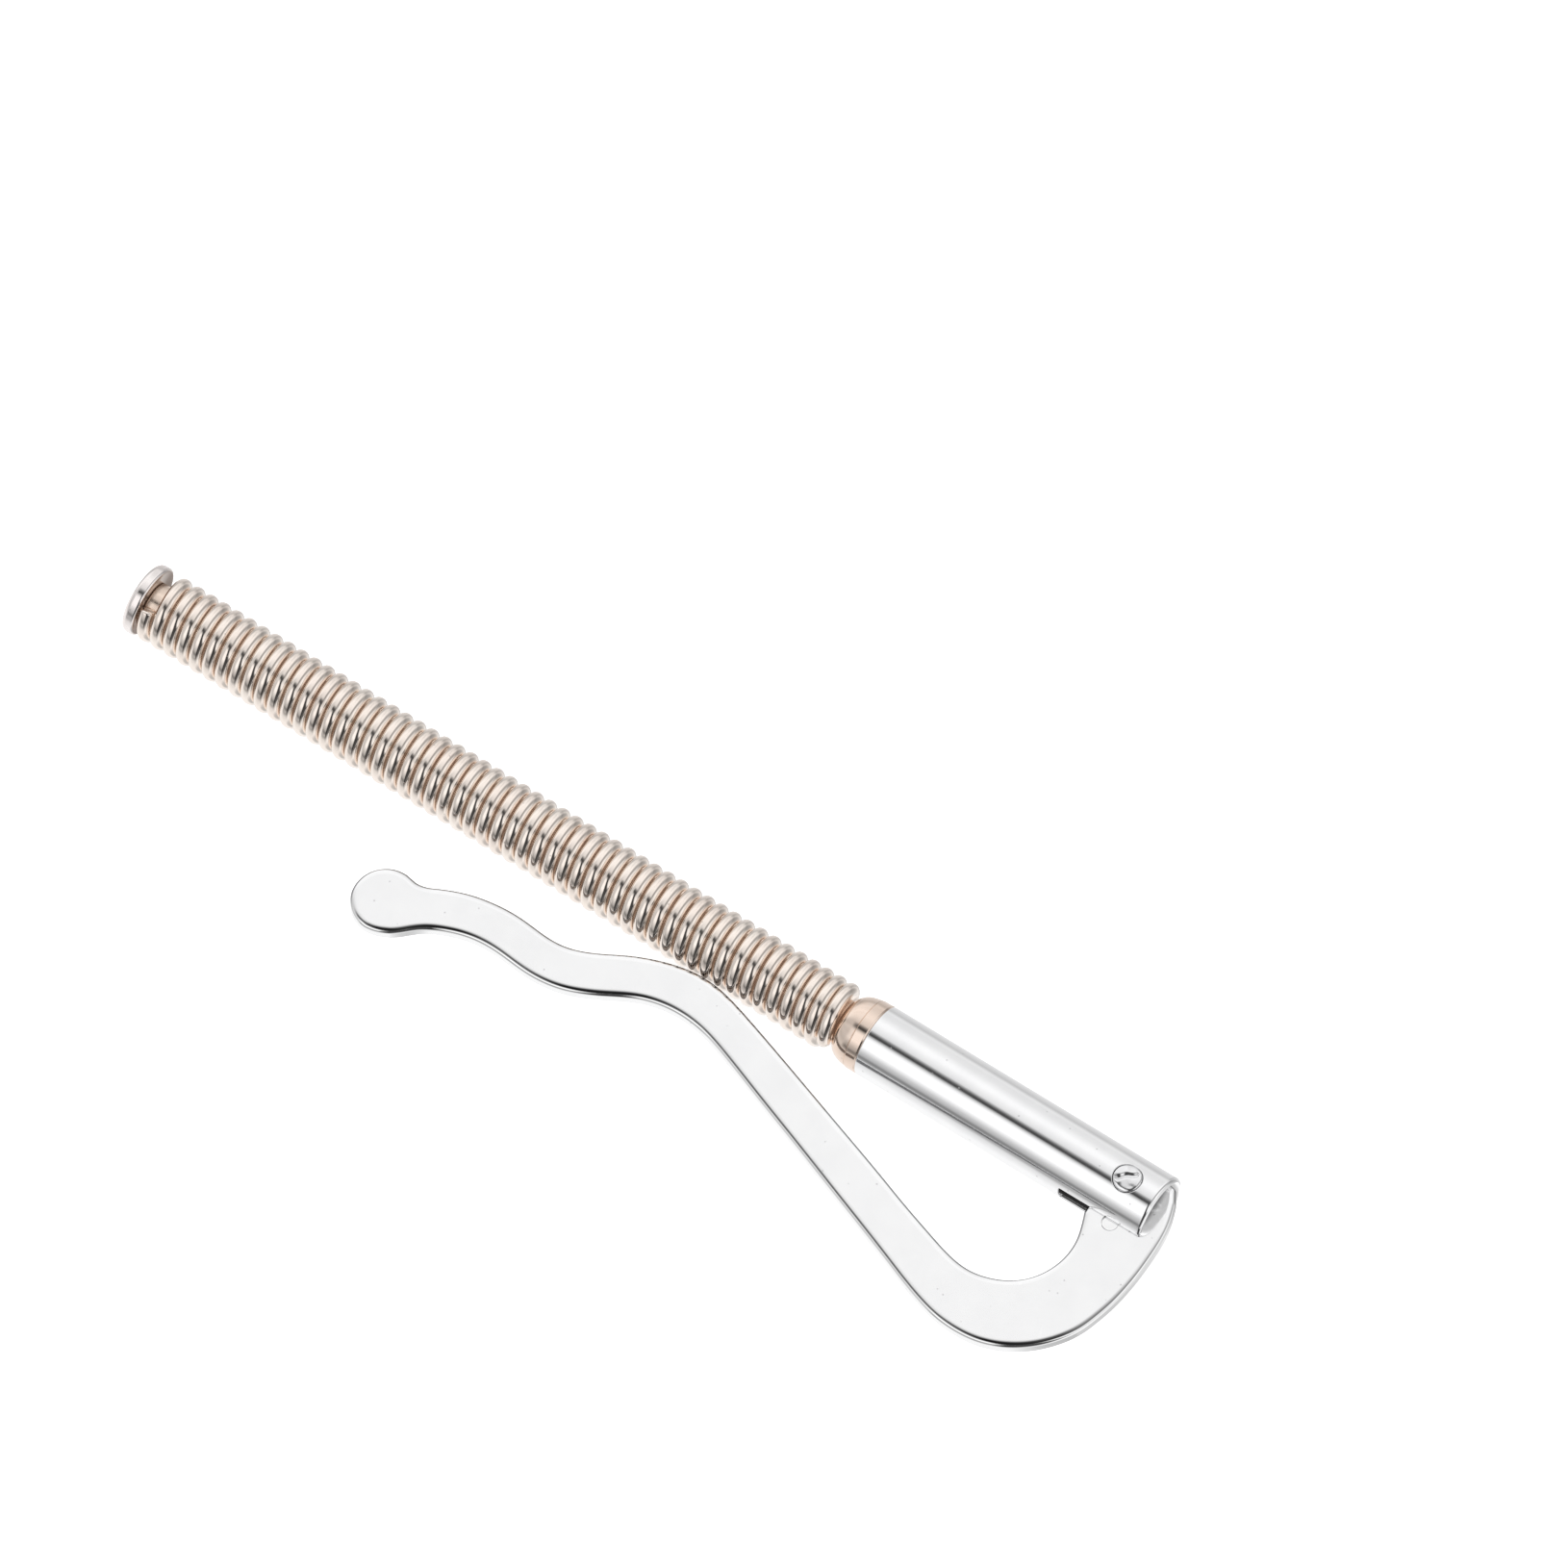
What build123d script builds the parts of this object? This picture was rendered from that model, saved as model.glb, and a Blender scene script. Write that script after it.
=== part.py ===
from build123d import *
import math
import os

# Sprung lever clip: a round shaft (slotted sleeve, guide ferrule, core rod wrapped by a long coil
# spring, end cap) with a J-shaped plate lever that pivots in the slotted end of the sleeve.
# Frame: origin on the pivot axis at the shaft axis, +X along the shaft towards the open end of the
# sleeve, -Y towards the lever, +Z normal to the lever plate. Millimetres.

# ---------------------------------------------------------------- driving dimensions
sleeve_od = 6.0
sleeve_wall = 0.35
sleeve_x0 = -23.80            # end that butts against the ferrule
sleeve_x1 = 2.95              # open end, the mouth
slot_x0 = -4.63               # blind end of the slot
slot_w = 1.50
mouth_round = 0.28            # rolled outer rim of the mouth

plate_t = 1.35                # lever plate thickness
plate_edge_r = 0.22           # rounded punched edge
pin_r = 1.15                  # pivot rivet shank
pin_half = 3.13               # half length over the formed ends
pin_clear = 0.04              # radial running clearance in the lever

spring_od = 5.90
wire_d = 1.05
spring_pitch = 1.2281
spring_x0 = -91.17            # wire centre at the start
spring_turns = 52.13
spring_start_deg = 127.0      # angle of the start, from +Y towards +Z

cap_x0, cap_x1 = -92.83, -91.72
cap_r = 3.0
cap_fillet_out = 0.55
cap_fillet_in = 0.28
rod_r = 1.75
rod_x1 = -18.2                # inner end, inside the sleeve
rod_spigot_r = 1.2
rod_spigot_len = 0.70

ferrule_x0 = -26.66           # nose
ferrule_spigot_x1 = -20.15    # inner end of the pressed spigot

heel_x = -2.60                # flat heel of the lever head
plunger_gap = 0.02            # heel to plunger
plunger_r = 2.60
plunger_nose_r = 2.05
plunger_step_x = -5.30
plunger_x0 = -9.60
plunger_stem_r = 1.70
plunger_stem_len = 1.60

rs_od = 4.90                  # return spring inside the sleeve
rs_wire = 0.55
rs_turns = 8.0

bore_r = sleeve_od / 2 - sleeve_wall
R = sleeve_od / 2

os.makedirs("parts", exist_ok=True)

# ---------------------------------------------------------------- sleeve
# Plain tube, rounded rims, one open slot on the lever side and a cross hole for the rivet.
with BuildPart() as sleeve:
    with BuildSketch(Plane.YZ.offset(sleeve_x0)):
        Circle(R)
        Circle(bore_r, mode=Mode.SUBTRACT)
    extrude(amount=sleeve_x1 - sleeve_x0)
    outer_rims = [e for e in sleeve.edges().filter_by(GeomType.CIRCLE) if abs(e.radius - R) < 1e-6]
    mouth_rim = sorted(outer_rims, key=lambda e: e.center().X)[-1]
    back_rim = sorted(outer_rims, key=lambda e: e.center().X)[0]
    fillet(mouth_rim, radius=mouth_round)
    fillet(back_rim, radius=0.10)
    with BuildSketch(Plane.XZ.offset(0.5)):
        with Locations(((slot_x0 + sleeve_x1 + 2.0) / 2, 0)):
            Rectangle(sleeve_x1 + 2.0 - slot_x0, slot_w)
    extrude(amount=R + 1.0, mode=Mode.SUBTRACT)
    with BuildSketch(Plane.XY.offset(-R - 1.0)):
        Circle(pin_r)
    extrude(amount=2 * R + 2.0, mode=Mode.SUBTRACT)
sleeve.part.label = "sleeve"

# ---------------------------------------------------------------- guide ferrule
# Domed bushing with a short band, pressed into the sleeve by its spigot; bored for the core rod.
with BuildPart() as guide_ferrule:
    with BuildSketch(Plane.XY):
        with BuildLine():
            Line((ferrule_x0, rod_r), (ferrule_x0, 1.95))
            Spline((ferrule_x0, 1.95), (-26.48, 2.20), (-26.29, 2.42), (-26.01, 2.63), (-25.55, 2.82), (-24.87, 2.955),
                   tangents=[(0.45, 1.0), (1.0, 0.05)])
            Line((-24.87, 2.955), (-24.83, 2.925))
            Line((-24.83, 2.925), (-24.77, R))
            Line((-24.77, R), (sleeve_x0 - 0.10, R))
            Line((sleeve_x0 - 0.10, R), (sleeve_x0, R - 0.10))
            Line((sleeve_x0, R - 0.10), (sleeve_x0, bore_r))
            Line((sleeve_x0, bore_r), (ferrule_spigot_x1 - 0.25, bore_r))
            Line((ferrule_spigot_x1 - 0.25, bore_r), (ferrule_spigot_x1, bore_r - 0.25))
            Line((ferrule_spigot_x1, bore_r - 0.25), (ferrule_spigot_x1, rod_r))
            Line((ferrule_spigot_x1, rod_r), (ferrule_x0, rod_r))
        make_face()
    revolve(axis=Axis.X, revolution_arc=360)
guide_ferrule.part.label = "guide_ferrule"

# ---------------------------------------------------------------- core rod
# Runs from the end cap through the spring and the ferrule; its inner end seats the return spring.
with BuildPart() as core_rod:
    with BuildSketch(Plane.YZ.offset(cap_x1)):
        Circle(rod_r)
    extrude(amount=rod_x1 - cap_x1)
    with BuildSketch(Plane.YZ.offset(cap_x1 - rod_spigot_len)):
        Circle(rod_spigot_r)
    extrude(amount=rod_spigot_len)
    chamfer(core_rod.faces().sort_by(Axis.X)[-1].edges(), length=0.3)
core_rod.part.label = "core_rod"

# ---------------------------------------------------------------- end cap
# Flat-ended round flange with rounded rims and a blind seat for the rod's spigot.
with BuildPart() as end_cap:
    with BuildSketch(Plane.YZ.offset(cap_x0)):
        Circle(cap_r)
    extrude(amount=cap_x1 - cap_x0)
    fillet(end_cap.faces().sort_by(Axis.X)[0].edges(), radius=cap_fillet_out)
    fillet(end_cap.faces().sort_by(Axis.X)[-1].edges(), radius=cap_fillet_in)
    with BuildSketch(Plane.YZ.offset(cap_x1)):
        Circle(rod_spigot_r)
    extrude(amount=-rod_spigot_len, mode=Mode.SUBTRACT)
end_cap.part.label = "end_cap"

# ---------------------------------------------------------------- coil spring
# Right-hand open-ended compression spring held between the end cap and the ferrule's dome.
with BuildPart() as coil_spring:
    with BuildLine() as coil_path:
        coil = Helix(pitch=spring_pitch, height=spring_pitch * spring_turns, radius=(spring_od - wire_d) / 2,
                     center=(spring_x0, 0, 0), direction=(1, 0, 0), mode=Mode.PRIVATE)
        add(coil.rotate(Axis.X, spring_start_deg - 90.0))
    with BuildSketch(Plane(origin=coil_path.line @ 0, z_dir=coil_path.line % 0)):
        Circle(wire_d / 2)
    sweep(path=coil_path.line, is_frenet=True)
coil_spring.part.label = "coil_spring"

# ---------------------------------------------------------------- lever
# J-shaped plate: head in the sleeve with a flat heel, hook under the mouth, straight arm back to a
# hump against the spring, wavy finger part and round tip.
tip_c = (-62.15, -11.25)
tip_r = 2.76
tip_a0 = math.radians(66.0)      # where the inner edge leaves the round tip
tip_a1 = math.radians(-70.0)     # where the outer edge leaves it
tip_p0 = (tip_c[0] + tip_r * math.cos(tip_a0), tip_c[1] + tip_r * math.sin(tip_a0))
tip_p1 = (tip_c[0] + tip_r * math.cos(tip_a1), tip_c[1] + tip_r * math.sin(tip_a1))
inner_pts = [tip_p0, (-60.50, -8.72), (-59.72, -8.35), (-58.35, -7.68), (-56.93, -7.16), (-55.44, -6.84),
             (-53.92, -6.66), (-52.36, -6.66), (-50.81, -6.81), (-49.44, -6.90), (-48.12, -6.76),
             (-46.91, -6.37), (-45.74, -5.81), (-44.46, -5.08), (-43.12, -4.39), (-41.69, -3.81),
             (-40.17, -3.35), (-38.85, -3.10), (-37.63, -3.04), (-36.41, -3.14), (-35.08, -3.42),
             (-33.27, -3.94), (-30.98, -4.67), (-27.95, -5.67), (-24.17, -6.94), (-20.37, -8.21),
             (-16.58, -9.50), (-13.62, -10.54), (-10.66, -11.49), (-9.18, -11.95), (-7.72, -12.28),
             (-6.35, -12.35), (-5.03, -12.08), (-3.82, -11.59), (-2.72, -10.82), (-1.83, -9.77),
             (-1.26, -8.57), (-0.98, -7.42), (-0.95, -6.41), (-1.12, -5.31), (-1.48, -4.36),
             (-1.88, -3.41)]
outer_pts = [tip_p1, (-60.11, -13.31), (-59.36, -12.61), (-58.28, -11.63), (-56.94, -10.95),
             (-55.52, -10.44), (-54.03, -10.17),
             (-52.48, -10.15), (-50.92, -10.30), (-49.38, -10.40), (-47.85, -10.31), (-46.37, -10.00),
             (-44.99, -9.46), (-43.65, -8.79), (-42.38, -8.05), (-41.03, -7.38), (-39.62, -6.95),
             (-38.13, -6.75), (-36.59, -6.79), (-35.04, -7.06), (-33.52, -7.52), (-31.25, -8.33),
             (-28.25, -9.44), (-24.50, -10.79), (-19.98, -12.45), (-15.46, -14.11), (-12.47, -15.23),
             (-10.29, -16.06), (-8.10, -16.79), (-6.60, -17.16), (-5.07, -17.31), (-3.50, -17.26),
             (-1.97, -16.94), (-0.53, -16.32), (0.77, -15.48), (1.91, -14.43), (2.87, -13.21),
             (3.63, -11.83), (4.09, -10.30), (4.44, -8.76), (4.63, -7.22), (4.72, -5.67),
             (4.70, -4.12), (4.61, -2.41), (4.41, -1.05), (4.10, 0.00), (3.66, 1.10)]
heel_pts = [inner_pts[-1], (-2.00, -2.15), (heel_x, -1.75), (heel_x, 2.05)]
crown_pts = [heel_pts[-1], (0.30, 2.42), (2.99, 2.14)]
nose_pts = [crown_pts[-1], outer_pts[-1]]

with BuildPart() as lever:
    with BuildSketch(Plane.XY.offset(-plate_t / 2)):
        with BuildLine():
            Spline(*inner_pts)
            Polyline(*heel_pts)
            ThreePointArc(*crown_pts)
            Line(*nose_pts)
            Spline(*outer_pts)
            ThreePointArc(tip_p0, (tip_c[0] - tip_r, tip_c[1]), tip_p1)
        outline = make_face()
        corner_pts = heel_pts[1:] + nose_pts[:1]
        corners = [v for v in outline.vertices()
                   if any(math.hypot(v.X - x, v.Y - y) < 0.05 for x, y in corner_pts)]
        fillet(corners, radius=0.30)
    extrude(amount=plate_t)
    fillet(lever.faces().filter_by(Axis.Z).edges(), radius=plate_edge_r)
    with BuildSketch(Plane.XY.offset(-plate_t)):
        Circle(pin_r + pin_clear)
    extrude(amount=2 * plate_t, mode=Mode.SUBTRACT)
    # shallow round punch mark on the upper face, just under the sleeve
    with BuildSketch(Plane.XY.offset(plate_t / 2 - 0.05)):
        with Locations((0.36, -3.09)):
            Circle(0.72)
    extrude(amount=0.2, mode=Mode.SUBTRACT)
lever.part.label = "lever"

# ---------------------------------------------------------------- pivot rivet
# Straight pin through the sleeve and the lever head; both ends are formed to low dished domes.
with BuildPart() as pivot_rivet:
    with BuildSketch(Plane.XZ):
        with BuildLine():
            Line((0, -pin_half + 0.05), (0, pin_half - 0.05))
            Spline((0, pin_half - 0.05), (0.45, pin_half - 0.03), (0.80, pin_half), (1.02, pin_half - 0.06),
                   (pin_r, pin_half - 0.20), tangents=[(1, 0), (0, -1)])
            Line((pin_r, pin_half - 0.20), (pin_r, -pin_half + 0.20))
            Spline((pin_r, -pin_half + 0.20), (1.02, -pin_half + 0.06), (0.80, -pin_half), (0.45, -pin_half + 0.03),
                   (0, -pin_half + 0.05), tangents=[(0, -1), (-1, 0)])
        make_face()
    revolve(axis=Axis.Z, revolution_arc=360)
pivot_rivet.part.label = "pivot_rivet"

# ---------------------------------------------------------------- plunger
# Slides in the sleeve behind the lever head; its flat nose bears on the heel.
px1 = heel_x - plunger_gap
with BuildPart() as plunger:
    with BuildSketch(Plane.XY):
        with BuildLine():
            Polyline((px1, 0), (px1, plunger_nose_r - 0.12), (px1 - 0.12, plunger_nose_r),
                     (plunger_step_x + 0.3, plunger_nose_r), (plunger_step_x, plunger_r - 0.15),
                     (plunger_step_x - 0.15, plunger_r), (plunger_x0 + 0.15, plunger_r),
                     (plunger_x0, plunger_r - 0.15), (plunger_x0, plunger_stem_r),
                     (plunger_x0 - plunger_stem_len + 0.2, plunger_stem_r),
                     (plunger_x0 - plunger_stem_len, plunger_stem_r - 0.2),
                     (plunger_x0 - plunger_stem_len, 0), (px1, 0))
        make_face()
    revolve(axis=Axis.X, revolution_arc=360)
plunger.part.label = "plunger"

# ---------------------------------------------------------------- return spring
# Short compression spring between the ferrule's spigot and the plunger's shoulder.
rs_x0 = ferrule_spigot_x1 + rs_wire / 2 + 0.03
rs_x1 = plunger_x0 - rs_wire / 2 - 0.03
with BuildPart() as return_spring:
    with BuildLine() as rs_path:
        Helix(pitch=(rs_x1 - rs_x0) / rs_turns, height=rs_x1 - rs_x0, radius=(rs_od - rs_wire) / 2,
              center=(rs_x0, 0, 0), direction=(1, 0, 0))
    with BuildSketch(Plane(origin=rs_path.line @ 0, z_dir=rs_path.line % 0)):
        Circle(rs_wire / 2)
    sweep(path=rs_path.line, is_frenet=True)
return_spring.part.label = "return_spring"

# ---------------------------------------------------------------- export
for piece in (sleeve, guide_ferrule, core_rod, end_cap, coil_spring, lever, pivot_rivet, plunger, return_spring):
    export_step(piece.part, "parts/" + piece.part.label + ".step")
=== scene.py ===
# A slotted tube with a J-shaped lever, a coiled tail and a sprung plunger, in millimetres.
# The shaft lies along X: the end cap is at -X, the open mouth at +X, and the origin is on the
# pivot. The slot opens to -Y. The lever is a flat plate in the XY plane that leaves through
# the slot and runs back to -X. The pivot pin lies along Z, and the floor is below in -Z.
import math
from collections import namedtuple
from functools import cached_property, partial, reduce

import bpy
import numpy as np
from mathutils import Vector, Matrix
from mathutils.geometry import delaunay_2d_cdt


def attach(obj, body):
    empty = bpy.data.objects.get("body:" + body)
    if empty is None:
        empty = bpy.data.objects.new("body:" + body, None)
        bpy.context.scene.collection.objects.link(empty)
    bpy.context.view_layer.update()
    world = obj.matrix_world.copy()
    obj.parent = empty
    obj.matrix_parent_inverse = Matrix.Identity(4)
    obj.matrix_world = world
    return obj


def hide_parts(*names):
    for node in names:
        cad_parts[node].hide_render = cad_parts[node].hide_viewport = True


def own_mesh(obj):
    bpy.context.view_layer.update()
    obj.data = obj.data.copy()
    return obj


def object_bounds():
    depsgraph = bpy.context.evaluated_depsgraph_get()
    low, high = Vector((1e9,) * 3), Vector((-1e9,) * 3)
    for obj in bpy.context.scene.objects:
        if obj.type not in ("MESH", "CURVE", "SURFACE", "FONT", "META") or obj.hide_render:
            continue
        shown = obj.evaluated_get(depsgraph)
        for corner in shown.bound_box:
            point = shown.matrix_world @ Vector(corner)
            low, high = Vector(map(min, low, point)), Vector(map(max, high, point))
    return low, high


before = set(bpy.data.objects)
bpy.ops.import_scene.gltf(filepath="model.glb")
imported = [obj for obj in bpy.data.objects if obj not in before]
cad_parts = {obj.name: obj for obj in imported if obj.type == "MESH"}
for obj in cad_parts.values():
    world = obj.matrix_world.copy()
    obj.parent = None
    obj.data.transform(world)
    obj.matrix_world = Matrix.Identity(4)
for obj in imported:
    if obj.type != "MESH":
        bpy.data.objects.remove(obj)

cad_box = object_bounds()
scene = bpy.context.scene

MM = 0.001                        # metres in a millimetre

# Dimensions shared between pieces
SLEEVE_R = 3.0
BORE_R = 2.65
SLEEVE_X0, SLEEVE_X1 = -23.80, 2.95
SLOT_X0 = -4.63                   # closed end of the slot
SLOT_HALF_WIDTH = 0.75
PIN_R = 1.15
ROD_X0 = -92.40
CAP_FACE_X = -91.73               # face of the end cap on the coil side
FERRULE_X1 = -20.15               # end of the ferrule inside the sleeve
SHOULDER_X = -9.60                # plunger shoulder that meets the return spring


# ======================================================================= curves and outlines
def unit_rows(vectors):
    return vectors / np.maximum(np.linalg.norm(vectors, axis=1), 1e-12)[:, None]


def ring_angles(count):
    return np.linspace(0, 2 * math.pi, count, endpoint=False)


def on_circle(centre, radius, angle):
    return centre + radius * np.array([math.cos(angle), math.sin(angle)])


def short_turn(start, end):
    """Signed angle from start to end, the short way round."""
    return (end - start + math.pi) % (2 * math.pi) - math.pi


def round_corners(corners, steps):
    """Open polyline whose inner corners (x, y, radius) become arcs; no radius keeps it sharp."""
    points = [np.array(corner[:2], float) for corner in corners]
    rounded = [points[0]]
    for i in range(1, len(points) - 1):
        corner = points[i]
        radius = corners[i][2] if len(corners[i]) > 2 else 0.0
        if radius <= 0:
            rounded.append(corner)
            continue
        back = (points[i - 1] - corner) / np.linalg.norm(points[i - 1] - corner)
        ahead = (points[i + 1] - corner) / np.linalg.norm(points[i + 1] - corner)
        angle = math.acos(max(-1, min(1, float(back @ ahead))))
        if math.pi - angle < 0.02:                   # nearly straight
            rounded.append(corner)
            continue
        reach = radius / math.tan(angle / 2)
        middle = (back + ahead) / np.linalg.norm(back + ahead)
        centre = corner + middle * radius / math.sin(angle / 2)
        start = math.atan2(*(corner + back * reach - centre)[::-1])
        end = math.atan2(*(corner + ahead * reach - centre)[::-1])
        turn = short_turn(start, end)
        for k in range(steps + 1):
            rounded.append(on_circle(centre, radius, start + turn * k / steps))
    rounded.append(points[-1])
    return np.array(rounded)


def subdivide(points, step):
    """Adds points so that no segment is longer than step."""
    result = [points[0]]
    for start, end in zip(points[:-1], points[1:]):
        count = max(1, int(math.ceil(np.linalg.norm(end - start) / step)))
        for i in range(1, count + 1):
            result.append(start + (end - start) * i / count)
    return np.array(result)


def polyline_normals(points, closed):
    """Unit normals on the left of the travel direction, weighted to the longer neighbour."""
    to_next = np.roll(points, -1, axis=0) - points
    if not closed:
        to_next[-1] = 0
    total = np.zeros((len(points), 2))
    for edge in (np.roll(to_next, 1, axis=0), to_next):
        length = np.linalg.norm(edge, axis=1)
        left = np.stack([-edge[:, 1], edge[:, 0]], 1)
        total += left / np.maximum(length, 1e-12)[:, None] * (length ** 2 + 1e-15)[:, None]
    return unit_rows(total)


def natural_spline(knots, step):
    """Natural cubic spline through the knots, sampled evenly about every step."""
    knots = np.array(knots, float)
    lengths = np.linalg.norm(np.diff(knots, axis=0), axis=1)
    station = np.concatenate([[0], np.cumsum(lengths)])
    count = len(knots)
    system = np.zeros((count, count))
    target = np.zeros((count, 2))
    system[0, 0] = system[-1, -1] = 1
    for i in range(1, count - 1):
        before, after = station[i] - station[i - 1], station[i + 1] - station[i]
        system[i, i - 1:i + 2] = before, 2 * (before + after), after
        target[i] = 6 * ((knots[i + 1] - knots[i]) / after - (knots[i] - knots[i - 1]) / before)
    bend = np.linalg.solve(system, target)           # second derivatives at the knots
    samples = max(2, int(round(station[-1] / step)))
    at = np.linspace(0, station[-1], samples + 1)
    k = np.clip(np.searchsorted(station, at, side="right") - 1, 0, count - 2)
    span = station[k + 1] - station[k]
    near = ((station[k + 1] - at) / span)[:, None]
    far = ((at - station[k]) / span)[:, None]
    cubic = (near ** 3 - near) * bend[k] + (far ** 3 - far) * bend[k + 1]
    return near * knots[k] + far * knots[k + 1] + cubic * (span ** 2)[:, None] / 6


def smooth_curve(points, sigma, step):
    """Gaussian smoothing of a dense open curve, ends held."""
    reach = int(4 * sigma / step)
    weights = np.exp(-0.5 * (np.arange(-reach, reach + 1) * step / sigma) ** 2)
    weights /= weights.sum()
    extended = np.concatenate([2 * points[0] - points[reach:0:-1], points,
                               2 * points[-1] - points[-2:-reach - 2:-1]])
    return np.stack([np.convolve(extended[:, c], weights, mode="valid") for c in range(2)], 1)


def arc_through(first, middle, last, steps):
    """Circular arc through three points."""
    first, middle, last = (np.array(point, float) for point in (first, middle, last))
    system = np.array([middle - first, last - middle]) * 2
    target = np.array([middle @ middle - first @ first, last @ last - middle @ middle])
    centre = np.linalg.solve(system, target)
    radius = np.linalg.norm(first - centre)
    start = math.atan2(*(first - centre)[::-1])
    turn = short_turn(start, math.atan2(*(last - centre)[::-1]))
    return [on_circle(centre, radius, start + turn * k / steps) for k in range(steps + 1)]


def in_polygon(points, polygon):
    x, y = points[:, 0], points[:, 1]
    inside = np.zeros(len(points), bool)
    for (xa, ya), (xb, yb) in zip(polygon, np.roll(polygon, 1, axis=0)):
        crosses = (ya > y) != (yb > y)
        inside ^= crosses & (x < (xb - xa) * (y - ya) / (yb - ya + 1e-30) + xa)
    return inside


def triangulate(outline, holes, extra):
    """Counter-clockwise triangles of a region; point order is outline, holes, extra."""
    edges = []
    start = 0
    for loop in (outline, *holes):
        count = len(loop)
        edges += [(start + i, start + (i + 1) % count) for i in range(count)]
        start += count
    points = np.concatenate([outline, *holes, extra])
    _, _, cells, sources, _, _ = delaunay_2d_cdt(
        [Vector(tuple(point)) for point in points], edges, [], 0, 1e-7, True)
    source = [found[0] if found else -1 for found in sources]
    triangles = np.array([[source[i] for i in cell] for cell in cells])
    triangles = triangles[(triangles >= 0).all(1)]
    centres = points[triangles].mean(1)
    keep = in_polygon(centres, outline)
    for hole in holes:
        keep &= ~in_polygon(centres, hole)
    triangles = triangles[keep]
    first, second, third = (points[triangles[:, c]] for c in range(3))
    area = ((second[:, 0] - first[:, 0]) * (third[:, 1] - first[:, 1])
            - (second[:, 1] - first[:, 1]) * (third[:, 0] - first[:, 0]))
    solid = np.abs(area) > 1e-12
    triangles, area = triangles[solid], area[solid]
    triangles[area < 0] = triangles[area < 0][:, ::-1]
    return triangles


# ======================================================================= mesh building
def make_object(name, verts, faces, normals, material):
    """Smooth mesh from millimetre points, wound outwards, with exact vertex normals."""
    mesh = bpy.data.meshes.new(name)
    mesh.from_pydata([tuple(point) for point in np.asarray(verts, float) * MM], [],
                     [tuple(int(i) for i in face) for face in faces])
    mesh.polygons.foreach_set("use_smooth", [True] * len(mesh.polygons))
    mesh.materials.append(material)
    mesh.validate()
    mesh.update()
    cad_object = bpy.data.objects.new(name, mesh)
    scene.collection.objects.link(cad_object)
    wind_outwards(mesh)
    # set again, because the bmesh round trip rewrites the face attributes
    mesh.polygons.foreach_set("use_smooth", [True] * len(mesh.polygons))
    unit_normals = unit_rows(np.asarray(normals, float))
    mesh.normals_split_custom_set_from_vertices([tuple(normal) for normal in unit_normals])
    mesh.update()
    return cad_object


def wind_outwards(mesh):
    import bmesh
    work = bmesh.new()
    work.from_mesh(mesh)
    bmesh.ops.recalc_face_normals(work, faces=work.faces)
    work.to_mesh(mesh)
    work.free()


def stitch(first, second, closed=True):
    """Faces between two rows of vertex numbers; a row of one vertex is a pole."""
    count = max(len(first), len(second))
    faces = []
    for j in range(count if closed else count - 1):
        k = (j + 1) % count
        if len(first) == 1:
            faces.append((first[0], second[k], second[j]))
        elif len(second) == 1:
            faces.append((first[j], first[k], second[0]))
        else:
            faces.append((first[j], first[k], second[k], second[j]))
    return faces


def revolve_x(name, profile, segments, material, ripple=None):
    """Body turned about X from an (x, radius) profile: axis to axis, or a closed loop."""
    profile = np.array(profile, float)
    has_poles = profile[0, 1] < 1e-9 and profile[-1, 1] < 1e-9
    profile_normals = polyline_normals(profile, closed=not has_poles)
    verts, normals, rows = [], [], []
    for k, (x, radius) in enumerate(profile):
        if has_poles and k in (0, len(profile) - 1):
            rows.append([len(verts)])
            verts.append((x, 0, 0))
            normals.append((-1 if k == 0 else 1, 0, 0))
            continue
        rows.append(range(len(verts), len(verts) + segments))
        along, outward = profile_normals[k]
        for angle in ring_angles(segments):
            lift = ripple(x, angle) if ripple else 0.0
            lifted = radius + lift * outward
            cosine, sine = math.cos(angle), math.sin(angle)
            verts.append((x + lift * along, lifted * cosine, lifted * sine))
            normals.append((along, outward * cosine, outward * sine))
    following = rows[1:] if has_poles else rows[1:] + rows[:1]
    faces = []
    for first, second in zip(rows, following):
        faces += stitch(first, second)
    return make_object(name, verts, faces, normals, material)


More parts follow.
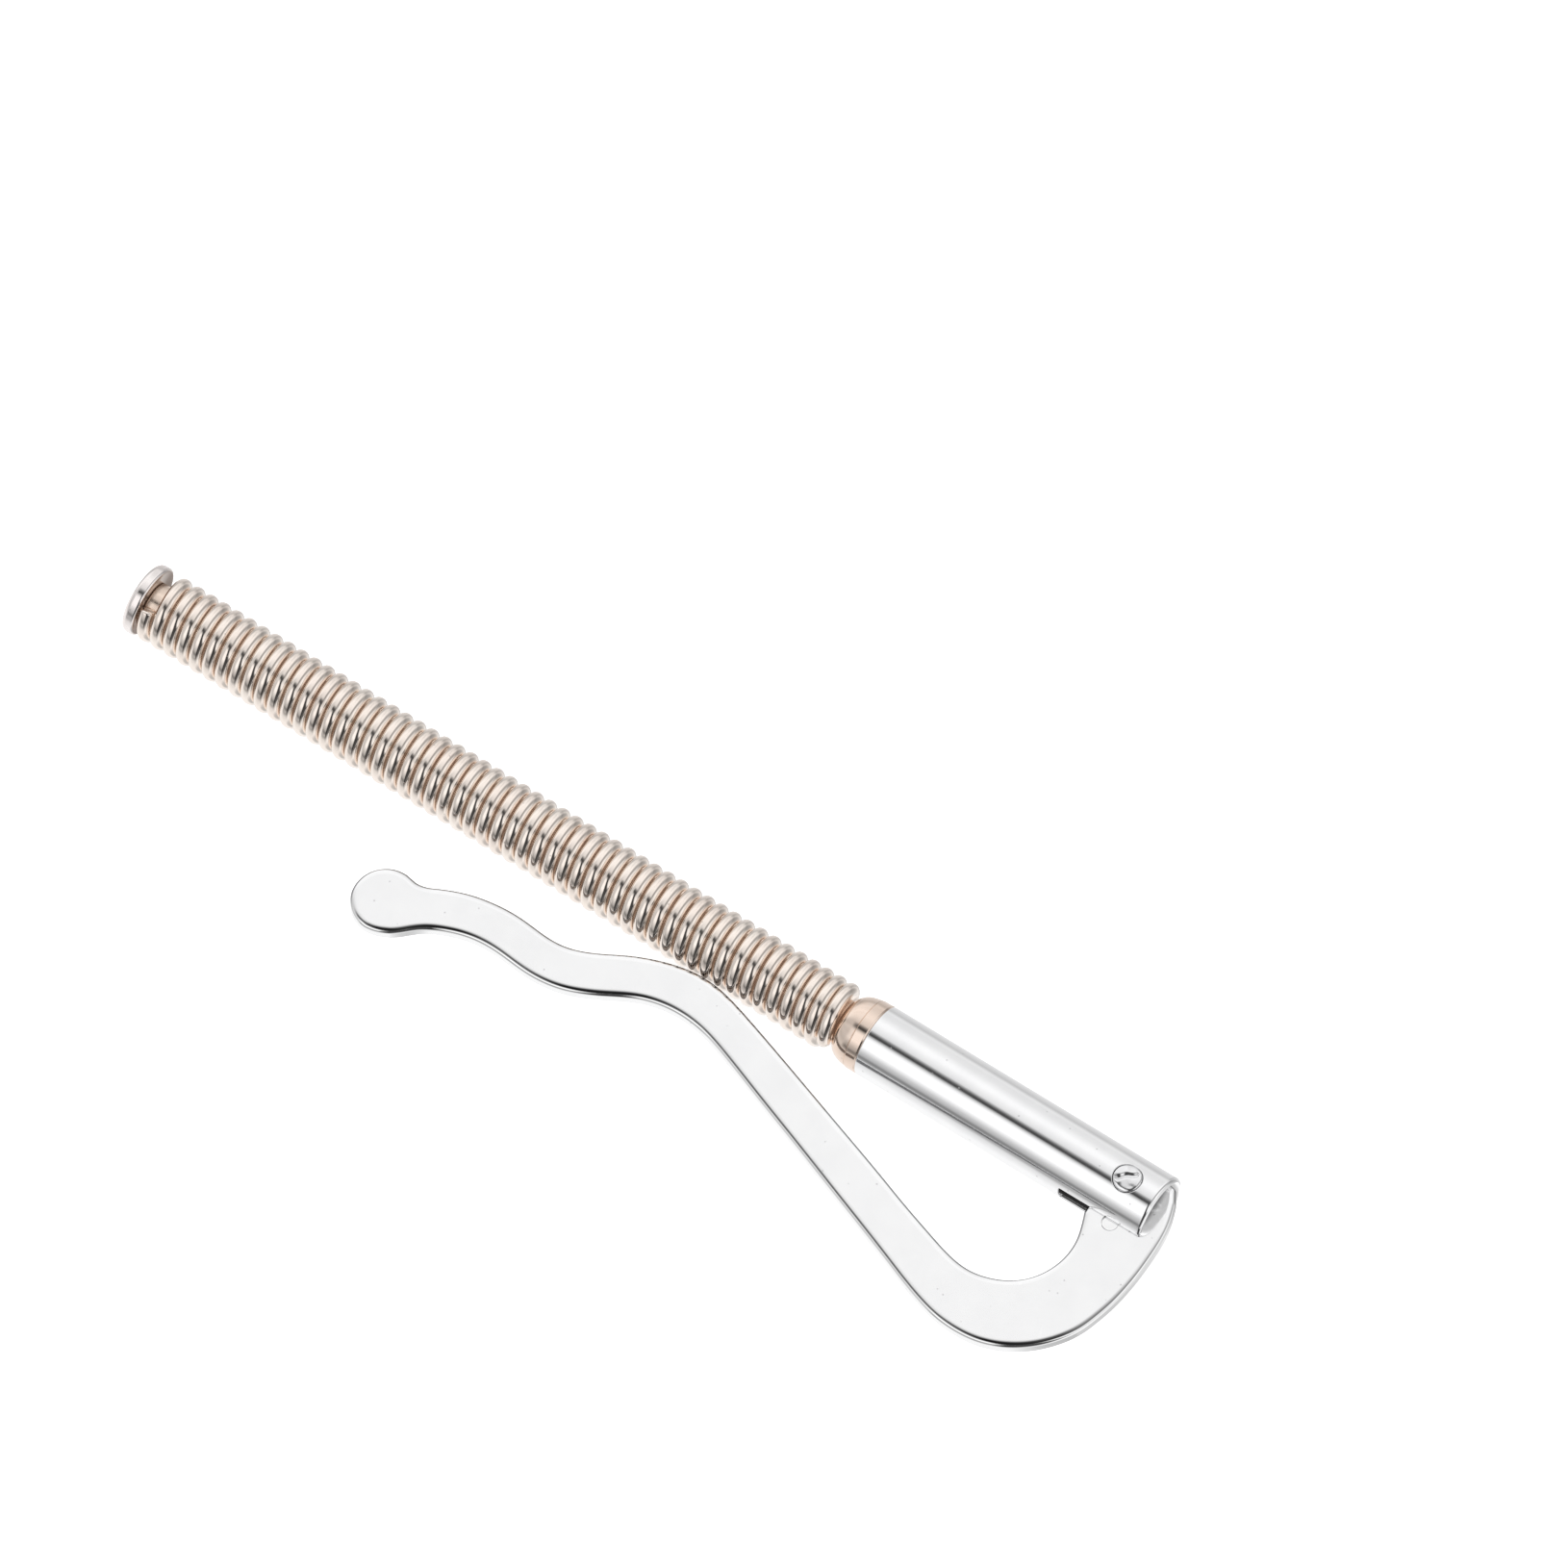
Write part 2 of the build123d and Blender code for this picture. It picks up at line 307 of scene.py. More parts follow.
def helix_x(name, material, start_x, pitch, turns, coil_radius, wire_radius, start_angle,
            per_turn, around, end_round, drift=None):
    """Round wire wound about X, with slightly rounded cut ends."""
    count = int(round(turns * per_turn))
    turn = np.linspace(0, turns, count + 1)
    angle = math.radians(start_angle) + 2 * math.pi * turn
    x = start_x + pitch * turn + (drift(turn) if drift else 0.0)
    cosine, sine = np.cos(angle), np.sin(angle)
    centres = np.stack([x, coil_radius * cosine, coil_radius * sine], 1)
    tangents = unit_rows(np.stack([np.full_like(turn, pitch / (2 * math.pi)),
                                   -coil_radius * sine, coil_radius * cosine], 1))
    radials = np.stack([np.zeros_like(turn), cosine, sine], 1)
    sideways = np.cross(tangents, radials)
    verts, normals, rings = [], [], []

    def add_ring(k, radius, shift, lean):
        """Ring k, shifted along the wire, its normals leaning along the wire."""
        rings.append(range(len(verts), len(verts) + around))
        for a in ring_angles(around):
            outward = math.cos(a) * radials[k] + math.sin(a) * sideways[k]
            verts.append(centres[k] + radius * outward + shift * tangents[k])
            normals.append(outward * (1 - abs(lean)) + tangents[k] * lean)

    # rings of a rounded end: radius, shift into the wire, lean of the normals
    end_rings = [(wire_radius - end_round, 0.0, -0.95),
                 (wire_radius - 0.3 * end_round, 0.3 * end_round, -0.6)]
    for radius, shift, lean in end_rings:
        add_ring(0, radius, shift, lean)
    for k in range(1, count):
        add_ring(k, wire_radius, 0.0, 0.0)
    for radius, shift, lean in reversed(end_rings):
        add_ring(-1, radius, -shift, -lean)
    faces = []
    for first, second in zip(rings[:-1], rings[1:]):
        faces += stitch(first, second)
    start_centre, end_centre = len(verts), len(verts) + 1
    verts += [centres[0], centres[-1]]
    normals += [-tangents[0], tangents[-1]]
    for j in range(around):
        k = (j + 1) % around
        faces.append((start_centre, rings[0][k], rings[0][j]))
        faces.append((end_centre, rings[-1][j], rings[-1][k]))
    return make_object(name, verts, faces, normals, material)


# ======================================================================= shader networks
def cleared_tree(owner):
    owner.use_nodes = True
    owner.node_tree.nodes.clear()
    return owner.node_tree


class Net:
    """Short calls for shader nodes; inputs may be numbers, RGB tuples or sockets."""
    def __init__(self, tree):
        self.tree = tree

    def node(self, kind):
        return self.tree.nodes.new("ShaderNode" + kind)

    def put(self, socket, value):
        if isinstance(value, (int, float)):
            socket.default_value = value
        elif isinstance(value, tuple):
            socket.default_value = (*value, 1.0)
        else:
            self.tree.links.new(value, socket)

    def coordinates(self, kind):
        return self.node("TexCoord").outputs[kind]

    @cached_property
    def mm(self):
        """Object-space place in millimetres."""
        node = self.node("VectorMath")
        node.operation = "SCALE"
        node.inputs["Scale"].default_value = 1000.0
        self.put(node.inputs[0], self.coordinates("Object"))
        return node.outputs[0]

    def separate(self, vector):
        node = self.node("SeparateXYZ")
        self.put(node.inputs[0], vector)
        return tuple(node.outputs)

    @cached_property
    def axes(self):
        return self.separate(self.mm)

    def math(self, operation, first, second=0.0, clamp=False):
        node = self.node("Math")
        node.operation = operation
        node.use_clamp = clamp
        for socket, value in zip(node.inputs, (first, second, 0.0)):
            self.put(socket, value)
        return node.outputs[0]

    def times(self, *factors):
        return reduce(partial(self.math, "MULTIPLY"), factors)

    def plus(self, *terms):
        return reduce(partial(self.math, "ADD"), terms)

    def invert(self, value):
        return self.math("SUBTRACT", 1.0, value)

    def stretch(self, factors):
        node = self.node("VectorMath")
        node.operation = "MULTIPLY"
        self.put(node.inputs[0], self.mm)
        node.inputs[1].default_value = factors
        return node.outputs[0]

    def noise(self, vector, scale, detail, rough):
        node = self.node("TexNoise")
        self.put(node.inputs["Vector"], vector)
        node.inputs["Scale"].default_value = scale
        node.inputs["Detail"].default_value = detail
        node.inputs["Roughness"].default_value = rough
        return node.outputs["Fac"]

    def cell_distance(self, vector, scale):
        node = self.node("TexVoronoi")
        self.put(node.inputs["Vector"], vector)
        node.inputs["Scale"].default_value = scale
        return node.outputs["Distance"]

    def ramp(self, factor, stops):
        node = self.node("ValToRGB")
        elements = node.color_ramp.elements
        while len(elements) > 1:
            elements.remove(elements[-1])
        for i, (position, colour) in enumerate(stops):
            element = elements.new(position) if i else elements[0]
            element.position = position
            element.color = (*colour, 1)
        self.put(node.inputs["Fac"], factor)
        return node.outputs["Color"]

    def mix(self, factor, first, second):
        node = self.node("Mix")
        node.data_type = "RGBA"
        # sockets 6 and 7 are the colour inputs, output 2 the colour result
        for index, value in ((0, factor), (6, first), (7, second)):
            self.put(node.inputs[index], value)
        return node.outputs[2]

    def remap(self, value, span, to=(0.0, 1.0)):
        """Clamped linear map of the range span onto the range to."""
        node = self.node("MapRange")
        node.clamp = True
        self.put(node.inputs["Value"], value)
        for key, number in zip(("From Min", "From Max", "To Min", "To Max"), (*span, *to)):
            node.inputs[key].default_value = number
        return node.outputs["Result"]

    def bump(self, height, depth, normal=None):
        """Bump of a depth in mm, on top of an earlier normal if given."""
        node = self.node("Bump")
        node.inputs["Strength"].default_value = 1.0
        node.inputs["Distance"].default_value = depth * MM
        self.put(node.inputs["Height"], height)
        if normal is not None:
            self.put(node.inputs["Normal"], normal)
        return node.outputs["Normal"]

    def radius(self):
        """Distance from the shaft axis in mm."""
        _, y, z = self.axes
        return self.math("SQRT", self.plus(self.times(y, y), self.times(z, z)))

    def pointiness(self):
        """0.5 on flats, more on outer edges."""
        return self.node("NewGeometry").outputs["Pointiness"]


# ======================================================================= plated metals
# Stretch of the polishing lines: small numbers lie along the line
LINES_ALONG_X = (0.08, 9.0, 9.0)
LINES_AROUND_X = (11.0, 0.25, 0.25)


def plated(name, base, worn, rough, peel, peel_scale=0.9, lines=0.0,
           line_stretch=LINES_ALONG_X, painted_shading=None, glow=None):
    """Plating with orange peel, polishing lines, dull patches, pits and rubbed edges.

    peel and lines are bump depths in mm. The painted shading (net, colour, roughness) adds to
    those two.
    glow holds the arguments of the painted glow, an emission though the part is no lamp.
    """
    material = bpy.data.materials.new(name)
    net = Net(cleared_tree(material))
    shader = net.node("BsdfPrincipled")
    net.put(net.node("OutputMaterial").inputs["Surface"], shader.outputs["BSDF"])
    shader.inputs["Metallic"].default_value = 1.0

    # dull patches, then edges rubbed bright
    cloud = net.noise(net.mm, scale=0.35, detail=4.0, rough=0.6)
    grain = net.noise(net.mm, scale=3.1, detail=5.0, rough=0.6)
    colour = net.mix(net.remap(cloud, span=(0.35, 0.68)), base, worn)
    rubbed = net.times(net.remap(net.pointiness(), span=(0.52, 0.60), to=(0.0, 0.7)),
                       net.remap(grain, span=(0.4, 0.6), to=(0.2, 1.0)))
    rubbed_colour = tuple(min(1.0, channel * 1.08) for channel in base)
    colour = net.mix(rubbed, colour, rubbed_colour)
    grain_rough = net.times(net.remap(grain, span=(0.35, 0.7), to=(-0.5, 1.0)), rough * 0.45)
    cloud_rough = net.times(net.remap(cloud, span=(0.5, 0.75)), rough * 0.5)
    roughness = net.plus(rough, grain_rough, cloud_rough)

    # small dark pits
    pits = net.remap(net.cell_distance(net.mm, scale=0.8), span=(0.045, 0.075), to=(1.0, 0.0))
    pit_colour = tuple(channel * 0.45 for channel in worn)
    colour = net.mix(net.times(pits, 0.45), colour, pit_colour)
    roughness = net.plus(roughness, net.times(pits, 0.2))

    # orange peel in two sizes, then polishing lines
    normal = net.bump(net.noise(net.mm, scale=peel_scale, detail=2.0, rough=0.5), peel)
    normal = net.bump(net.noise(net.mm, scale=5.0, detail=3.0, rough=0.6), peel * 0.22, normal)
    if lines > 0:
        streaks = net.noise(net.stretch(line_stretch), scale=1.0, detail=3.0, rough=0.6)
        normal = net.bump(streaks, lines, normal)
        streak_rough = net.remap(streaks, span=(0.3, 0.7), to=(-0.5, 1.0))
        roughness = net.plus(roughness, net.times(streak_rough, rough * 0.3))

    # painted shade and reflections go into the colour and roughness
    if painted_shading:
        colour, roughness = painted_shading(net, colour, roughness)
    net.put(shader.inputs["Base Color"], colour)
    net.put(shader.inputs["Roughness"], roughness)
    net.put(shader.inputs["Normal"], normal)
    # painted glow: emission on a part that is no lamp
    if glow:
        add_painted_glow(net, shader, **glow)
    return material


def add_painted_glow(net, shader, colour, radii, span=None, least=0.0):
    """Painted light, glowing though the part is no lamp: fades out over radii, and rises from
    least over the X range span."""
    strength = net.remap(net.radius(), span=radii, to=(1.0, 0.0))
    if span:
        strength = net.times(strength, net.remap(net.axes[0], span=span, to=(least, 1.0)))
    net.put(shader.inputs["Emission Color"], colour)
    net.put(shader.inputs["Emission Strength"], strength)


def paint_bore_shade(net, colour, roughness):
    """Painted shade: dark and dull deep in the bore, brightening towards the mouth."""
    bore_shade_mask = net.times(net.remap(net.radius(), span=(2.62, 2.74), to=(1.0, 0.0)),
                     net.remap(net.axes[0], span=(0.5, 2.3), to=(1.0, 0.12)))
    # painted shade: a near-black colour deep in the bore
    colour = net.mix(bore_shade_mask, colour, (0.10, 0.095, 0.095))
    return colour, net.math("MAXIMUM", roughness, net.times(bore_shade_mask, 0.55))


def paint_cap_face_shade(net, colour, roughness):
    """Painted shade on the face on the coil side: rosy at the rim, dark further in and towards
    -Z.
    """
    x, _, z = net.axes
    shade = net.times(net.remap(net.radius(), span=(2.76, 2.90), to=(1.0, 0.0)),
                      net.remap(z, span=(0.6, 1.9), to=(1.0, 0.5)))
    # painted shade: dark brown further in on the face beside the coil
    face = net.mix(shade, (0.86, 0.77, 0.71), (0.26, 0.18, 0.14))
    return net.mix(net.remap(x, span=(-91.82, -91.75)), colour, face), roughness


def paint_lever_edge_reflections(net, colour, roughness):
    """Painted reflections: a darker line on the rounded edges, chosen by the direction of the
    normal.
    """
    # painted dark reflection on the edges facing +Y and -X
    painted_edge_dark = (0.24, 0.24, 0.245)
    x, y, z = net.separate(net.coordinates("Normal"))
    facing_plus_y = net.remap(y, span=(0.28, 0.56))
    facing_minus_x = net.times(net.remap(x, span=(-0.58, -0.30), to=(1.0, 0.0)),
                               net.remap(y, span=(-0.55, -0.25)))
    lined = net.math("MAXIMUM", facing_plus_y, facing_minus_x)
    colour = net.mix(net.times(lined, 0.95), colour, painted_edge_dark)
    # painted dark reflection, darker still: slopes between -Y and +X, only where the surface has
    # just begun to turn down
    heading = net.math("DEGREES", net.math("ARCTAN2", y, x))
    foot = net.times(net.remap(heading, span=(-100.0, -72.0)),
                     net.remap(heading, span=(-35.0, 12.0), to=(1.0, 0.0)))
    foot = net.times(foot, net.remap(z, span=(0.975, 0.997), to=(1.0, 0.0)))
    foot = net.times(foot, net.remap(z, span=(0.84, 0.93)))
    painted_foot_dark = tuple(channel * 0.25 for channel in painted_edge_dark)
    return net.mix(net.times(foot, 0.95), colour, painted_foot_dark), roughness


# painted shade deep in the bore, and a painted glow on the bore near the mouth
sleeve_metal = plated(
    "bright_plate", base=(0.965, 0.965, 0.97), worn=(0.93, 0.93, 0.94), rough=0.06,
    peel=0.0013, lines=0.00025, painted_shading=paint_bore_shade,
    glow=dict(colour=(0.52, 0.52, 0.52), radii=(2.655, 2.72), span=(1.75, 2.30), least=0.03))
# painted dark reflection lines on the rounded edges
lever_metal = plated(
    "lever_plate", base=(0.955, 0.955, 0.958), worn=(0.925, 0.925, 0.93), rough=0.09,
    peel=0.0016, peel_scale=0.75, painted_shading=paint_lever_edge_reflections)
rivet_metal = plated(
    "rivet_steel", base=(0.92, 0.92, 0.93), worn=(0.80, 0.80, 0.81), rough=0.11,
    peel=0.0035, peel_scale=2.2)
ferrule_metal = plated(
    "rose_plate", base=(0.91, 0.765, 0.665), worn=(0.86, 0.69, 0.58), rough=0.07,
    peel=0.0008, lines=0.0004, line_stretch=LINES_AROUND_X)
# painted shade on the face beside the coil
cap_metal = plated(
    "rose_plate_cap", base=(0.95, 0.90, 0.88), worn=(0.90, 0.83, 0.81), rough=0.10,
    peel=0.0010, lines=0.0005, line_stretch=LINES_AROUND_X, painted_shading=paint_cap_face_shade)
# painted light: a faint glow over the whole rod
rod_metal = plated(
    "rose_rod", base=(0.88, 0.74, 0.64), worn=(0.78, 0.62, 0.51), rough=0.22,
    peel=0.001, lines=0.0008, glow=dict(colour=(0.030, 0.019, 0.013), radii=(3.0, 3.1)))
# painted light: a faint glow on the inner side of the wire, lightening the gaps between turns
wire_metal = plated(
    "rose_wire", base=(0.955, 0.87, 0.80), worn=(0.92, 0.81, 0.735), rough=0.075,
    peel=0.0008, peel_scale=1.3, glow=dict(colour=(0.055, 0.045, 0.037), radii=(2.20, 2.55)))
plunger_metal = plated(
    "plunger_steel", base=(0.20, 0.19, 0.19), worn=(0.12, 0.11, 0.11), rough=0.35,
    peel=0.001, lines=0.001, line_stretch=LINES_AROUND_X)
spring_metal = plated(
    "spring_steel", base=(0.50, 0.50, 0.51), worn=(0.36, 0.35, 0.35), rough=0.28, peel=0.001)

# ======================================================================= sleeve
# The sleeve is laid out as a flat sheet in (x, v) and rolled up. v is the arc length on the
# outer surface: 0 at +Y, a quarter turn at +Z, and half a turn either way at the slot on -Y.
WALL = SLEEVE_R - BORE_R
HALF_TURN = math.pi * SLEEVE_R
SLOT_SIDE = HALF_TURN - SLEEVE_R * math.asin(SLOT_HALF_WIDTH / SLEEVE_R)   # |v| of slot side
CUT_R = PIN_R + 0.06              # pin hole, a hair over the pin
COLUMNS = 144                     # divisions around the sheet
ROLL_STEPS = 7                    # divisions of a rounded edge
BACK_ROUND = 0.10                 # rounding of the edge at the ferrule
SLOT_ROUND = 0.13
MOUTH_ROUND = 0.40                # rounding of the mouth along the shaft
MOUTH_DEPTH = 0.28                # and through the wall
CUT_ROUND = 0.07
INNER_ROUND = 0.06                # most rounding on the bore side
DEPTH_RATIO = 0.92                # depth of a plain rounding over its reach

# points (x, v); inward: unit vectors into the sheet; reach and depth of the rounding
SheetEdge = namedtuple("SheetEdge", "points inward reach depth closed")


def plain_edge(points, inward, reach, closed):
    reach = np.full(len(points), reach)
    return SheetEdge(points, inward, reach, reach * DEPTH_RATIO, closed)


def sleeve_edges():
    """Back rim, slot with mouth, and the two pin holes."""
    rim = np.stack([np.full(COLUMNS + 1, SLEEVE_X0),
                    np.linspace(-HALF_TURN, HALF_TURN, COLUMNS + 1)], 1)
    rim_edge = plain_edge(rim, np.tile([1.0, 0.0], (len(rim), 1)), BACK_ROUND, closed=False)

    side = round_corners([(SLOT_X0, -HALF_TURN), (SLOT_X0, -SLOT_SIDE, 0.16),
                          (SLEEVE_X1, -SLOT_SIDE, 0.22), (SLEEVE_X1, 0)], steps=6)[:-1]
    side = subdivide(side, 0.35)
    mouth_v = np.linspace(side[-1][1], -side[-1][1], COLUMNS - 1)[1:-1]
    mouth = np.stack([np.full(len(mouth_v), SLEEVE_X1), mouth_v], 1)
    slot = np.concatenate([side, mouth, side[::-1] * np.array([1, -1])])
    inward = polyline_normals(slot, closed=False)
    inward[0] = inward[-1] = (-1.0, 0.0)
    at_mouth = np.clip((slot[:, 0] - (SLEEVE_X1 - 0.5)) / 0.5, 0, 1) ** 2
    slot_depth = SLOT_ROUND * DEPTH_RATIO
    slot_edge = SheetEdge(slot, inward,
                          SLOT_ROUND + (MOUTH_ROUND - SLOT_ROUND) * at_mouth,
                          slot_depth + (MOUTH_DEPTH - slot_depth) * at_mouth, closed=False)

    edges = [rim_edge, slot_edge]
    for sign in (1, -1):
        angle = ring_angles(72) * sign
        from_centre = np.arcsin(CUT_R * np.sin(angle) / SLEEVE_R)
        v = sign * (math.pi / 2 - from_centre) * SLEEVE_R
        hole = np.stack([CUT_R * np.cos(angle), v], 1)
        edges.append(plain_edge(hole, polyline_normals(hole, closed=True), CUT_ROUND,
                                closed=True))
    return edges


def wall_points(sheet, depth):
    """Places and angles of sheet points at a depth under the outer surface.

    Angles are shifted with depth near the slot and the pin holes, so cut walls stay flat.
    """
    x, v = sheet.T
    radius = SLEEVE_R - depth
    raw = v / SLEEVE_R
    from_slot = math.pi - np.abs(raw)
    near_slot = np.clip((0.9 - from_slot) / 0.55, 0, 1)
    held = np.minimum(from_slot, 0.9)
    flat = np.arcsin(np.clip(np.sin(held) * SLEEVE_R / radius, -1, 1))
    angle = np.sign(raw) * (math.pi - from_slot - (flat - held) * near_slot)
    for centre in (math.pi / 2, -math.pi / 2):
        offset = angle - centre
        near_hole = (np.clip((0.75 - np.abs(offset)) / 0.25, 0, 1)
                     * np.clip((2.2 - np.abs(x)) / 0.6, 0, 1))
        held = np.clip(offset, -0.75, 0.75)
        flat = np.arcsin(np.clip(np.sin(held) * SLEEVE_R / radius, -0.99, 0.99))
        angle = angle + (flat - held) * near_hole
    return np.stack([x, radius * np.cos(angle), radius * np.sin(angle)], -1), angle


def roll_edge(edge, verts, normals):
    """Adds the rounded edge from the outer skin to the bore and returns its rows."""
    rows = []
    for outer in (True, False):
        reach = edge.reach if outer else np.minimum(edge.reach, INNER_ROUND)
        depth = edge.depth if outer else reach * DEPTH_RATIO
        steps = range(ROLL_STEPS + 1)
        for k in (steps if outer else reversed(steps)):
            turn = 0.5 * math.pi * k / ROLL_STEPS
            sheet = edge.points + edge.inward * (reach * (1 - math.sin(turn)))[:, None]
            sunk = depth * (1 - math.cos(turn))
            places, angle = wall_points(sheet, sunk if outer else WALL - sunk)
            along, around = (-edge.inward * math.sin(turn)).T
            outward = math.cos(turn) * (1 if outer else -1)
            rows.append(np.arange(len(verts), len(verts) + len(places)))
            verts.extend(places)
            normals.extend(np.stack([along,
                                     outward * np.cos(angle) - around * np.sin(angle),
                                     outward * np.sin(angle) + around * np.cos(angle)], 1))
    return rows


def sleeve_grid(outline, holes):
    """Regular points of the skin, clear of the slot and the pin holes."""
    columns = np.linspace(-HALF_TURN, HALF_TURN, COLUMNS + 1)[1:-1]
    rows = np.arange(SLEEVE_X0 + 0.9, SLEEVE_X1 - 0.55, 0.95)
    grid = np.array([(x, v) for x in rows for v in columns])
    keep = in_polygon(grid, outline)
    for hole in holes:
        keep &= np.linalg.norm(grid - hole.mean(0), axis=1) > CUT_R + 0.55
    keep &= ~((grid[:, 0] > SLOT_X0 - 0.35) & (np.abs(grid[:, 1]) > SLOT_SIDE - 0.22))
    return grid[keep]


def add_sleeve_skins(edges, edge_rows, verts, normals, faces):
    """Fills the outer skin and the bore between the rounded edges."""
    rim, slot, *holes = [edge.points + edge.inward * edge.reach[:, None] for edge in edges]
    seam_x = np.linspace(SLEEVE_X0 + BACK_ROUND, SLOT_X0 - SLOT_ROUND, 25)[1:-1]
    outline = np.concatenate([
        rim, np.stack([seam_x, np.full(len(seam_x), HALF_TURN)], 1),
        slot[::-1], np.stack([seam_x[::-1], np.full(len(seam_x), -HALF_TURN)], 1)])
    # rings around the holes keep the skin even there
    hole_rings = [edge.points[::2] + edge.inward[::2] * offset
                  for edge in edges[2:] for offset in (0.2, 0.38)]
    extra = np.concatenate([sleeve_grid(outline, holes)] + hole_rings)
    triangles = triangulate(outline, holes, extra)
    points = np.concatenate([outline, *holes, extra])
    blank_seam = np.full(len(seam_x), -1)
    blank_extra = np.full(len(extra), -1)
    # first edge row and outward normal on the outer skin, last row and inward in the bore
    for row, depth, sign in ((0, 0.0, 1), (-1, WALL, -1)):
        rim_ids, slot_ids, *hole_ids = [rows[row] for rows in edge_rows]
        index = np.concatenate([rim_ids, blank_seam, slot_ids[::-1], blank_seam,
                                *hole_ids, blank_extra])
        missing = np.where(index < 0)[0]
        places, angle = wall_points(points[missing], depth)
        index[missing] = np.arange(len(verts), len(verts) + len(missing))
        verts.extend(places)
        normals.extend(np.stack([0 * angle, sign * np.cos(angle), sign * np.sin(angle)], 1))
        order = [0, 1, 2] if sign == 1 else [0, 2, 1]
        faces.extend(index[triangle[order]] for triangle in triangles)


def weld(verts, normals, faces):
    """Merges points that share a place and drops faces that collapse."""
    first_at = {}
    merged, kept_verts, kept_normals = [], [], []
    for place, normal, rounded in zip(verts, normals, np.round(np.array(verts), 5)):
        key = tuple(rounded)
        if key not in first_at:
            first_at[key] = len(kept_verts)
            kept_verts.append(place)
            kept_normals.append(normal)
        merged.append(first_at[key])
    kept_faces = []
    for face in faces:
        ids = [merged[i] for i in face]
        ids = [ids[i] for i in range(len(ids)) if ids[i] != ids[i - 1]]
        if len(set(ids)) >= 3:
            kept_faces.append(ids)
    return kept_verts, kept_normals, kept_faces


def build_sleeve():
    verts, normals, faces = [], [], []
    edges = sleeve_edges()
    edge_rows = [roll_edge(edge, verts, normals) for edge in edges]
    for edge, rows in zip(edges, edge_rows):
        for first, second in zip(rows[:-1], rows[1:]):
            faces += stitch(first, second, edge.closed)
    add_sleeve_skins(edges, edge_rows, verts, normals, faces)
    verts, normals, faces = weld(verts, normals, faces)
    return make_object("sleeve_shell", verts, faces, normals, sleeve_metal)


sleeve = build_sleeve()
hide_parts("sleeve")
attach(sleeve, "shaft")

# ======================================================================= guide ferrule
FERRULE_BORE_R = 1.79
FERRULE_PLUG_R = 2.645            # part pressed into the sleeve
FERRULE_STEP_X = -23.82           # where the plug begins
# (x, radius) along the domed end
DOME = [(-26.64, 1.97), (-26.48, 2.20), (-26.29, 2.42), (-26.01, 2.63), (-25.55, 2.82),
        (-25.22, 2.895), (-24.91, 2.94)]


def build_ferrule():
    lip = round_corners([(-26.66, FERRULE_BORE_R), (-26.66, 1.92, 0.04), DOME[0]], steps=4)
    # groove behind the dome, collar, then the plug
    body = round_corners([
        DOME[-1], (-24.87, 2.945, 0.03), (-24.825, 2.90, 0.015), (-24.77, 2.985, 0.05),
        (-23.95, 2.99, 0.05), (FERRULE_STEP_X, 2.90, 0.03),
        (FERRULE_STEP_X, FERRULE_PLUG_R, 0.02), (-20.40, FERRULE_PLUG_R, 0.10),
        (FERRULE_X1, 2.40, 0.10), (FERRULE_X1, FERRULE_BORE_R)], steps=5)
    bore = np.stack([np.linspace(-20.6, -26.3, 12), np.full(12, FERRULE_BORE_R)], 1)
    profile = np.concatenate([lip[:-1], natural_spline(DOME, step=0.04), body[1:], bore])
    return revolve_x("ferrule_dome", profile, 176, ferrule_metal)


ferrule = build_ferrule()
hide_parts("guide_ferrule")
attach(ferrule, "shaft")

# ======================================================================= core rod
ROD_R = 1.742
ROD_NECK_R = 1.2                  # neck that sits in the end cap
ROD_X1 = -18.2


def build_rod():
    neck = round_corners([(ROD_X0, 0.6), (ROD_X0, ROD_NECK_R, 0.1),
                          (CAP_FACE_X, ROD_NECK_R, 0.05), (CAP_FACE_X, 1.70),
                          (-91.67, 1.74)], steps=4)
    bar = np.stack([np.linspace(-91.57, -18.6, 140), np.full(140, ROD_R)], 1)
    nose = round_corners([(-18.5, ROD_R), (ROD_X1, ROD_R, 0.25), (ROD_X1, 0.6)], steps=5)
    profile = np.concatenate([[(ROD_X0, 0)], neck, bar, nose, [(ROD_X1, 0)]])
    return revolve_x("core_rod_bar", profile, 96, rod_metal,
                     ripple=lambda x, angle: 0.004 * math.sin(0.9 * x + 2 * angle))


rod = build_rod()
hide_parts("core_rod")
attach(rod, "shaft")

# ======================================================================= end cap
SOCKET_R = ROD_NECK_R + 0.005


def build_end_cap():
    disc = round_corners([
        (-92.78, 0.5), (-92.83, 1.6), (-92.83, 2.98, 0.52), (CAP_FACE_X, 2.985, 0.27),
        (CAP_FACE_X, SOCKET_R), (ROD_X0, SOCKET_R), (-92.42, 0.5)], steps=10)
    profile = np.concatenate([[(-92.775, 0)], disc, [(-92.42, 0)]])
    return revolve_x("end_cap_disc", profile, 176, cap_metal)


end_cap = build_end_cap()
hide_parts("end_cap")
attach(end_cap, "shaft")

# ======================================================================= coil spring
COIL_TURNS = 52.13
COIL_OUTER_R = 2.95
COIL_WIRE_R = 0.572


def waviness(t):
    """Smooth repeatable waviness in about -1..1, from three octaves."""
    total = np.zeros_like(t)
    for octave in range(3):
        frequency = 2.0 ** octave
        total += (0.5 ** octave * np.sin(frequency * t * 1.7 + 3.9 + octave * 2.1)
                  * np.cos(frequency * t * 0.61 + 2.1 - octave))
    return total


